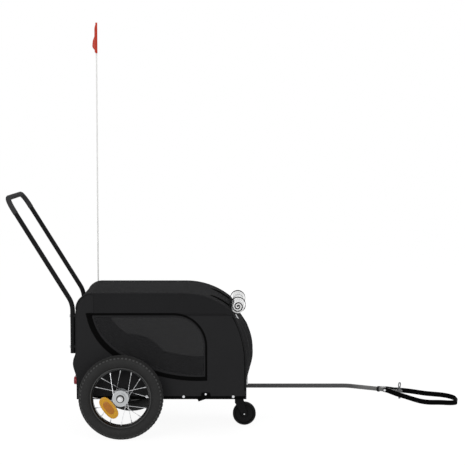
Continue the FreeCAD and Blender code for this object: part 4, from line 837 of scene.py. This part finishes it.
class TRAILER_OT_roll(bpy.types.Operator):
    """Rolled clear rain flap, its ends drawn with a painted highlight and a painted shade line, its straps
    and the tie tab
    """
    bl_idname = "trailer.roll"
    bl_label = "Build the rolled flap"

    def execute(self, context):
        sizes = context.scene.trailer.roll
        low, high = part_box("rain_flap_roll")
        middle = (low + high) / 2 + ROLL_SHIFT
        turns = [sizes.turns * part / 144 for part in range(145)]
        rows = []
        for step in range(41):
            y = low.y + (high.y - low.y) * step / 40
            rows.append([self.wound(middle, sizes, turn, sizes.waver * uneven(2.1 * turn, 24 * y, 0.4), y)
                         for turn in turns])
        mesh = from_rows("rolled_film", rows)
        mesh.shade_smooth()
        piece = shown(mesh, "clear_film", "frame", "rain_flap_roll")
        for side, y in (("right", low.y + 1.2 * MM), ("left", high.y - 1.2 * MM)):
            # At each end: a white tube along the film's edge, a painted highlight, and a black tube just
            # inside it, a painted shade line between the turns
            for name, finish, inset, thick in (("flap_edge_highlight", "film_edge_highlight", 2.8 * MM, 2.7 * MM),
                                               ("flap_shade_line", "webbing", 7.2 * MM, 1.4 * MM)):
                edge = [self.wound(middle, sizes, turn, inset, y) for turn in turns]
                shown(tube_mesh(f"{side}_{name}", edge, thick), finish, "frame")
        self.straps(middle, sizes.radius)
        return {"FINISHED"}

    def wound(self, middle, sizes, turn, inset, y):
        """A point so many turns from the film's free edge, and so far inside the spiral that it follows."""
        reach = sizes.radius - sizes.pitch * turn - inset
        angle = FREE_EDGE + math.tau * turn
        return Vector((middle.x + reach * math.cos(angle), y, middle.z + reach * math.sin(angle)))

    def strap_line(self, middle, radius):
        """Down the roof's brow, up the back of the roll, round it and under.

        Each row is a place, the way out of the cloth, and the strap's thickness and width there."""
        first, on_roof, on_roll = math.radians(21), 0.024, 0.020
        behind, stride = 164, 8.2  # degrees round the roll: where the strap meets it, and one step
        line = []
        for step in range(11):
            turn = first + (BROW_TURN - first) * step / 10
            rise = 4.2 * MM * ramp(step, -1, 3)
            line.append((off(BROW_MIDDLE, BROW + 0.4 * MM, turn), off(Vector(), 1.0, turn), rise, on_roof))
        turn = BROW_TURN + math.radians(3)
        line.append((off(CREST_MIDDLE, CREST + 1.2 * MM, turn), off(Vector(), 1.0, turn), 3 * MM, 0.023))
        for step in range(34):
            angle = math.radians(behind - stride * step)
            outward = Vector((math.cos(angle), 0, math.sin(angle)))
            line.append((middle + (radius + 0.6 * MM) * outward, outward, 1.4 * MM, on_roll))
        return line

    def straps(self, middle, radius):
        tab_inside, apart, width = -0.15, 0.2, 0.0216
        net = net_of(sliced("cover_straps", "tie_tab", ((X, 0.006), (Z, 0.006))))
        gone = [vertex for vertex in net.verts if vertex.co.y > tab_inside]
        bmesh.ops.delete(net, geom=gone, context="VERTS")
        section = ((-1, 0), (1, 0), (1, 0.7), (0.9, 1), (-0.9, 1), (-1, 0.7))
        for y in (-apart / 2, apart / 2):
            rows = []
            for place, outward, rise, wide in self.strap_line(middle, radius):
                seat, across = place + Vector((0, y - place.y, 0)), Vector((0, wide / 2, 0))
                ring = [seat + across * share + outward * rise * lift for share, lift in section]
                rows.append(ring + ring[:1])
            net.from_mesh(from_rows("flap_strap", rows))
        bmesh.ops.remove_doubles(net, verts=net.verts, dist=WELD)
        bmesh.ops.holes_fill(net, edges=[edge for edge in net.edges if edge.is_boundary])
        bmesh.ops.recalc_face_normals(net, faces=net.faces)
        mesh = from_net(net, bpy.data.meshes.new("strap_webbing"))
        smooth(mesh, 40)
        piece = shown(mesh, "webbing", "frame", "cover_straps")
        tab = Vector((AXLE.x + 0.297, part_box("cover_straps")[0].y, 0.152))
        cap = [(0.0, 0.0016), (0.0018, 0.0014), (0.0032, 0.0007), (0.0038, 0.0), (0.0, 0.0)]
        rivet = shown(turned("tab_rivet", cap, tab, Vector((0, -1, 0)), 24), "zinc", "frame")


def outer_end(node, sign):
    """The middle of a node's outer face on one side."""
    low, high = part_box(node)
    return Vector(((low.x + high.x) / 2, high.y if sign > 0 else low.y, (low.z + high.z) / 2))


# Rows of knobs round a tyre, and where its shoulder starts: degrees from the crown
KNOB_ROWS, SHOULDER = (-52, -27, 0, 27, 52), 40
# Angles from the crown between which the skin rises from the tread's base to the bare wall
TREAD_END, WALL_START = math.radians(38), math.radians(62)
# A knob's height on the shoulder, as a share of the others' height, and the size of a knob's top
# as a share of its foot
SHOULDER_RISE, KNOB_TOP = 0.75, 0.82


class TRAILER_OT_wheels(bpy.types.Operator):
    """Tyres with moulded tread, the spoke reflectors' lenses, and caps and washers on the axles"""
    bl_idname = "trailer.wheels"
    bl_label = "Build the tyres"

    def execute(self, context):
        sizes = context.scene.trailer.wheel
        cap = [(0.0, 0.0004), (0.0045, 0.0004), (0.0056, 0.0002), (0.006, -0.0002), (0.0, -0.0002)]
        washer = [(0.0024, 0.0), (0.0024, 0.0006), (0.0056, 0.0006), (0.0063, 0.0), (0.0063, -0.0006),
                  (0.0024, -0.0006)]
        for side, sign in SIDES.items():
            out = Vector((0, sign, 0))
            centre = middle_of(f"{side}_rim")
            self.tyre(side, centre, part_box(f"{side}_tyre")[1].z - centre.z, sizes)
            self.reflector(side, sign, centre, sizes)
            shown(turned(f"{side}_button_cap", cap, outer_end(f"{side}_button", sign), out, 40),
                  "zinc", f"{side}_axle_button")
            shown(turned(f"{side}_caster_washer", washer, outer_end("caster_axle", sign), out, 32),
                  "black_plastic", "caster_swivel_fork")
        return {"FINISHED"}

    def tyre(self, side, centre, outside, sizes):
        section, wall = 0.0235, 0.003
        crown = outside - section

        def skin(angle, depth):
            lowered = sizes.knob_height * (1 - ramp(abs(angle), TREAD_END, WALL_START))
            reach = section - lowered - depth
            return crown + reach * math.cos(angle), reach * math.sin(angle)

        turns = [math.radians(-144 + 8 * step) for step in range(37)]
        profile = [skin(turn, 0.0) for turn in turns] + [skin(turn, wall) for turn in reversed(turns)]
        mesh = turned(f"{side}_tyre_rubber", profile, centre, Vector((0, 1, 0)), sizes.around)
        net = net_of(mesh)
        self.tread(net, centre, skin, sizes)
        from_net(net, mesh)
        smooth(mesh, 35)
        shown(mesh, "tyre", f"{side}_wheel", f"{side}_tyre")
        # The second material, paler rubber for the shoulder knobs' tops, is a painted highlight
        mesh.materials.append(FINISH["tyre_knob_highlight"])

    def tread(self, net, centre, skin, sizes):
        sunk, half_length, half_width = 0.4 * MM, 4.4 * MM, 3.6 * MM
        for row, turn in enumerate(KNOB_ROWS):
            on_shoulder = abs(turn) > SHOULDER
            angle = math.radians(turn)
            base, along = skin(angle, sunk)
            rise = (sizes.knob_height + sunk) * (SHOULDER_RISE if on_shoulder else 1.0)
            for knob in range(sizes.knobs):
                place = math.tau * (knob + 0.5 * (row % 2)) / sizes.knobs
                outward = Vector((math.cos(place), 0, math.sin(place)))
                normal = math.cos(angle) * outward + Vector((0, math.sin(angle), 0))
                ahead = Vector((-math.sin(place), 0, math.cos(place)))
                aside = normal.cross(ahead)
                foot = centre + base * outward + Vector((0, along, 0))
                top = self.knob(net, foot, normal * rise, ahead * half_length, aside * half_width)
                # The shoulder knobs' tops take the paler rubber: a painted highlight
                top.material_index = int(on_shoulder)

    def knob(self, net, foot, rise, ahead, aside):
        ring = ((1, 1), (-1, 1), (-1, -1), (1, -1))
        under = [net.verts.new(foot + ahead * a + aside * b) for a, b in ring]
        over = [net.verts.new(foot + rise + (ahead * a + aside * b) * KNOB_TOP) for a, b in ring]
        for place in range(4):
            after = (place + 1) % 4
            net.faces.new((under[place], under[after], over[after], over[place]))
        return net.faces.new(over)

    def reflector(self, side, sign, centre, sizes):
        """An oval amber body over the moulded clip, with a darker raised lens."""
        face = outer_end(f"{side}_wheel_reflector", sign)
        spoke = Vector((face.x - centre.x, 0, face.z - centre.z)).normalized()
        along = Vector((spoke.z, 0, -spoke.x))
        long, wide = sizes.reflector[0] / 2 * along, sizes.reflector[1] / 2 * spoke
        fullness = 0.8  # an ellipse has 1, and less fills its corners
        for name, finish, share, foot, rise in (("reflector_body", "amber", 1.0, -0.0042, 0.0006),
                                                ("reflector_lens", "amber_lens", 0.6, 0.0, 0.0014)):
            section = ((0.0, rise), (0.85, rise), (0.96, rise - 0.0003), (1.0, rise - 0.0012), (1.0, foot))
            rows = []
            for angle in full_turn(48):
                a, b = [math.copysign(abs(part) ** fullness, part)
                        for part in (math.cos(angle), math.sin(angle))]
                rows.append([face + Vector((0, sign * lift, 0)) + share * scale * (a * long + b * wide)
                             for scale, lift in section])
            mesh = from_rows(f"{side}_{name}", rows, closed=True)
            smooth(mesh, 40)
            shown(mesh, finish, f"{side}_wheel")


class TRAILER_OT_towing(bpy.types.Operator):
    """Safety strap and the pin's tether"""
    bl_idname = "trailer.towing"
    bl_label = "Build the towing gear"

    def execute(self, context):
        pin = middle_of("hitch_pin")
        turn, bar_height, pin_inset = math.radians(30), 0.110, 0.039
        along = Vector((math.cos(turn), -math.sin(turn), 0))
        bar_end = Vector((pin.x, pin.y, bar_height)) - pin_inset * along
        self.tether(pin, along, bar_end)
        self.strap(bar_end)
        return {"FINISHED"}

    def tether(self, pin, along, bar_end):
        """From its clip on the bar, over the bar's bend, to a noose round the pin."""
        to_clip, to_bend, to_noose, rest, crest = -0.046188, -0.011547, 0.0337, 0.0093, 0.0143
        band = bar_end + to_clip * along
        route = [band + rest * UP, bar_end + to_bend * along + crest * UP,
                 bar_end + to_noose * along + rest * UP]
        guide = curve_mesh("tether_guide", "NURBS", route)
        points = [vertex.co.copy() for vertex in guide.vertices]
        bpy.data.meshes.remove(guide)
        tether = placed("tether_cord", tube_mesh("tether_cord", points, 1 * MM, 12))
        tether.data.materials.append(FINISH["cord"])
        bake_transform(tether)
        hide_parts("pin_tether")
        ring = [(0.00805, -0.004), (0.0098, -0.004), (0.0106, -0.0032), (0.0106, 0.0032), (0.0098, 0.004),
                (0.00805, 0.004)]
        clip = shown(turned("tether_clip", ring, band, along, 40), "black_plastic", "tow_arm")
        eye = Vector((pin.x, pin.y, 0.1193))
        wire = [(5.3 * MM + 1 * MM * math.cos(turn), 1 * MM * math.sin(turn)) for turn in full_turn(12)]
        noose = shown(turned("tether_noose", wire, eye, UP, 32), "cord", "hitch")

    def strap(self, bar_end):
        width, slope, droop, dip = 0.0206, 0.577, 0.0105, 0.007

        def fold(point):
            gone = point.x - bar_end.x
            near = ramp(bar_end.y - slope * min(gone, 0.09) - point.y, 0.002, 0.014)
            sag = droop * ramp(gone, 0.01, 0.15) + dip * near * hump(gone, -0.028, 0.03, 0.09, 0.20)
            return Vector((0, 0, -sag))

        mesh = sliced("safety_strap", "safety_webbing", ((X, 0.008), (Z, 0.004)), fold)
        strap = shown(mesh, "webbing", "tow_arm", "safety_strap")


class TRAILER_OT_handle(bpy.types.Operator):
    """Foam grip"""
    bl_idname = "trailer.handle"
    bl_label = "Build the grip"

    def execute(self, context):
        radius, bend, reach, half_width = 0.0093, 0.05, 0.062, 0.185
        foot = Vector((AXLE.x - 0.174, 0, 0.4746))
        corner = Vector((AXLE.x - 0.404, 0, 0.847))
        arm = (foot - corner).normalized()
        line = []
        for sign in SIDES.values():
            turn = corner + bend * arm + Vector((0, sign * (half_width - bend), 0))
            half = [corner + reach * arm + Vector((0, sign * half_width, 0))]
            half += [turn + bend * (math.cos(angle) * Vector((0, sign, 0)) - math.sin(angle) * arm)
                     for angle in (math.pi / 2 * step / 12 for step in range(13))]
            line += half if sign > 0 else half[::-1]
        # The grip's paler grey is painted light from above
        piece = shown(tube_mesh("grip_foam", line, radius, 24), "foam", "frame", "handle_grip")
        return {"FINISHED"}


class TRAILER_OT_flag(bpy.types.Operator):
    """Pennant on its pole"""
    bl_idname = "trailer.flag"
    bl_label = "Build the flag"

    def execute(self, context):
        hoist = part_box("flag")[1].y
        pole = middle_of("flag_pole")
        # Where the cloth leaves its sleeve and hangs free, and how far it falls back to the pole
        sleeve, slack, limp = 0.012, 0.06, 0.85

        def fold(point):
            free = ramp(hoist - point.y, sleeve, slack)
            ripple = 1.2 * MM * math.sin(70 * point.y + 30 * point.z)
            return Vector(((pole.x - point.x) * limp + ripple, 0, 0)) * free

        mesh = sliced("flag", "pennant_cloth", ((Y, 0.008), (Z, 0.008)), fold)
        piece = shown(mesh, "pennant", "flag_staff", "flag")
        return {"FINISHED"}


# Each lamp's place in metres, width in metres and power in watts; all look at the cabin
LAMPS = {"key": ((-1.8, -3.4, 2.0), 2.4, 48), "fill": ((2.4, -3.4, 1.6), 2.0, 28),
         "top": ((0.2, 0.8, 3.4), 2.6, 10)}
LAMPS_AIM = Vector((0, 0, 0.3))
# Half of the floor's width, the light that the eye sees on it, and that light's share over the shadow
FLOOR, FLOOR_GLOW, FLOOR_SHARE = 9, 1.155, 0.8
# How much light the surroundings give, where 1 is what the eye sees there
AMBIENT = 0.42


class TRAILER_OT_stage(bpy.types.Operator):
    """Floor, lights and camera"""
    bl_idname = "trailer.stage"
    bl_label = "Set the stage"

    def execute(self, context):
        sizes = context.scene.trailer.stage
        scene = context.scene
        scene.view_settings.view_transform = "Standard"
        self.floor()
        self.world(scene)
        for name, (place, width, power) in LAMPS.items():
            light = bpy.data.lights.new(name, "AREA")
            light.size = width
            light.energy = power
            lamp = placed(name, light)
            lamp.location = place
            lamp.rotation_euler = (LAMPS_AIM - Vector(place)).to_track_quat("-Z", "Y").to_euler()
        lens = bpy.data.cameras.new("camera")
        lens.lens = sizes.lens
        camera = placed("camera", lens)
        camera.location = sizes.eye
        camera.rotation_euler = (math.pi / 2 - sizes.pitch, 0, 0)
        scene.camera = camera
        return {"FINISHED"}

    def seen(self, tree):
        """1 where the camera, a reflection or a clear piece looks, and 0 where light is gathered."""
        path = add(tree, "ShaderNodeLightPath", {}).node.outputs
        either = add(tree, "ShaderNodeMath", {0: path["Is Camera Ray"], 1: path["Is Glossy Ray"]},
                     operation="MAXIMUM")
        return add(tree, "ShaderNodeMath", {0: either, 1: path["Is Transmission Ray"]}, operation="MAXIMUM")

    def floor(self):
        mesh = from_rows("floor", [[(x, y, 0) for x in (-FLOOR, FLOOR)] for y in (-FLOOR, FLOOR)])
        floor = placed("studio_floor", mesh)
        made, tree, shader = finish_of("matt painted floor", linear("#f2f2f2"), 0.9, Specular_IOR_Level=0.0)
        glow = add(tree, "ShaderNodeEmission", {"Strength": FLOOR_GLOW})
        share = add(tree, "ShaderNodeMath", {0: self.seen(tree), 1: FLOOR_SHARE}, operation="MULTIPLY")
        add(tree, "ShaderNodeMixShader", {0: share, 1: shader.outputs["BSDF"], 2: glow},
            0, tree.nodes["Material Output"].inputs["Surface"])
        mesh.materials.append(made)

    def world(self, scene):
        world = bpy.data.worlds.new("studio")
        world.use_nodes = True
        tree = world.node_tree
        white, soft = [add(tree, "ShaderNodeBackground", {"Color": (1, 1, 1, 1), "Strength": strength})
                       for strength in (1.0, AMBIENT)]
        add(tree, "ShaderNodeMixShader", {0: self.seen(tree), 1: soft, 2: white},
            0, tree.nodes["World Output"].inputs["Surface"])
        scene.world = world


class TRAILER_PT_panel(bpy.types.Panel):
    """Sizes and builders"""
    bl_label = "Dog bike trailer"
    bl_idname = "TRAILER_PT_panel"
    bl_space_type = "VIEW_3D"
    bl_region_type = "UI"
    bl_category = "Trailer"

    def draw(self, context):
        sizes = context.scene.trailer
        for group in (sizes.colours, sizes.cover, sizes.roll, sizes.wheel, sizes.stage):
            column = self.layout.column()
            for name in group.bl_rna.properties.keys():
                if name not in ("rna_type", "name"):
                    column.prop(group, name)
        for builder in BUILDERS:
            self.layout.operator(builder.bl_idname)


BUILDERS = (TRAILER_OT_finishes, TRAILER_OT_stage, TRAILER_OT_towing, TRAILER_OT_cover, TRAILER_OT_windows,
            TRAILER_OT_roll, TRAILER_OT_wheels, TRAILER_OT_handle, TRAILER_OT_flag)
CLASSES = (FinishColours, CoverSizes, RollSizes, WheelSizes, StageSizes, TrailerSizes) + BUILDERS
CLASSES += (TRAILER_PT_panel,)


def register():
    for kind in CLASSES:
        bpy.utils.register_class(kind)
    bpy.types.Scene.trailer = bpy.props.PointerProperty(type=TrailerSizes)


def unregister():
    del bpy.types.Scene.trailer
    for kind in reversed(CLASSES):
        bpy.utils.unregister_class(kind)


def main():
    register()
    bpy.ops.trailer.finishes()
    bpy.ops.trailer.stage()
    bpy.ops.trailer.towing()
    bpy.ops.trailer.cover()
    bpy.ops.trailer.windows()
    bpy.ops.trailer.roll()
    bpy.ops.trailer.wheels()
    bpy.ops.trailer.handle()
    bpy.ops.trailer.flag()


if __name__ == "__main__":
    main()
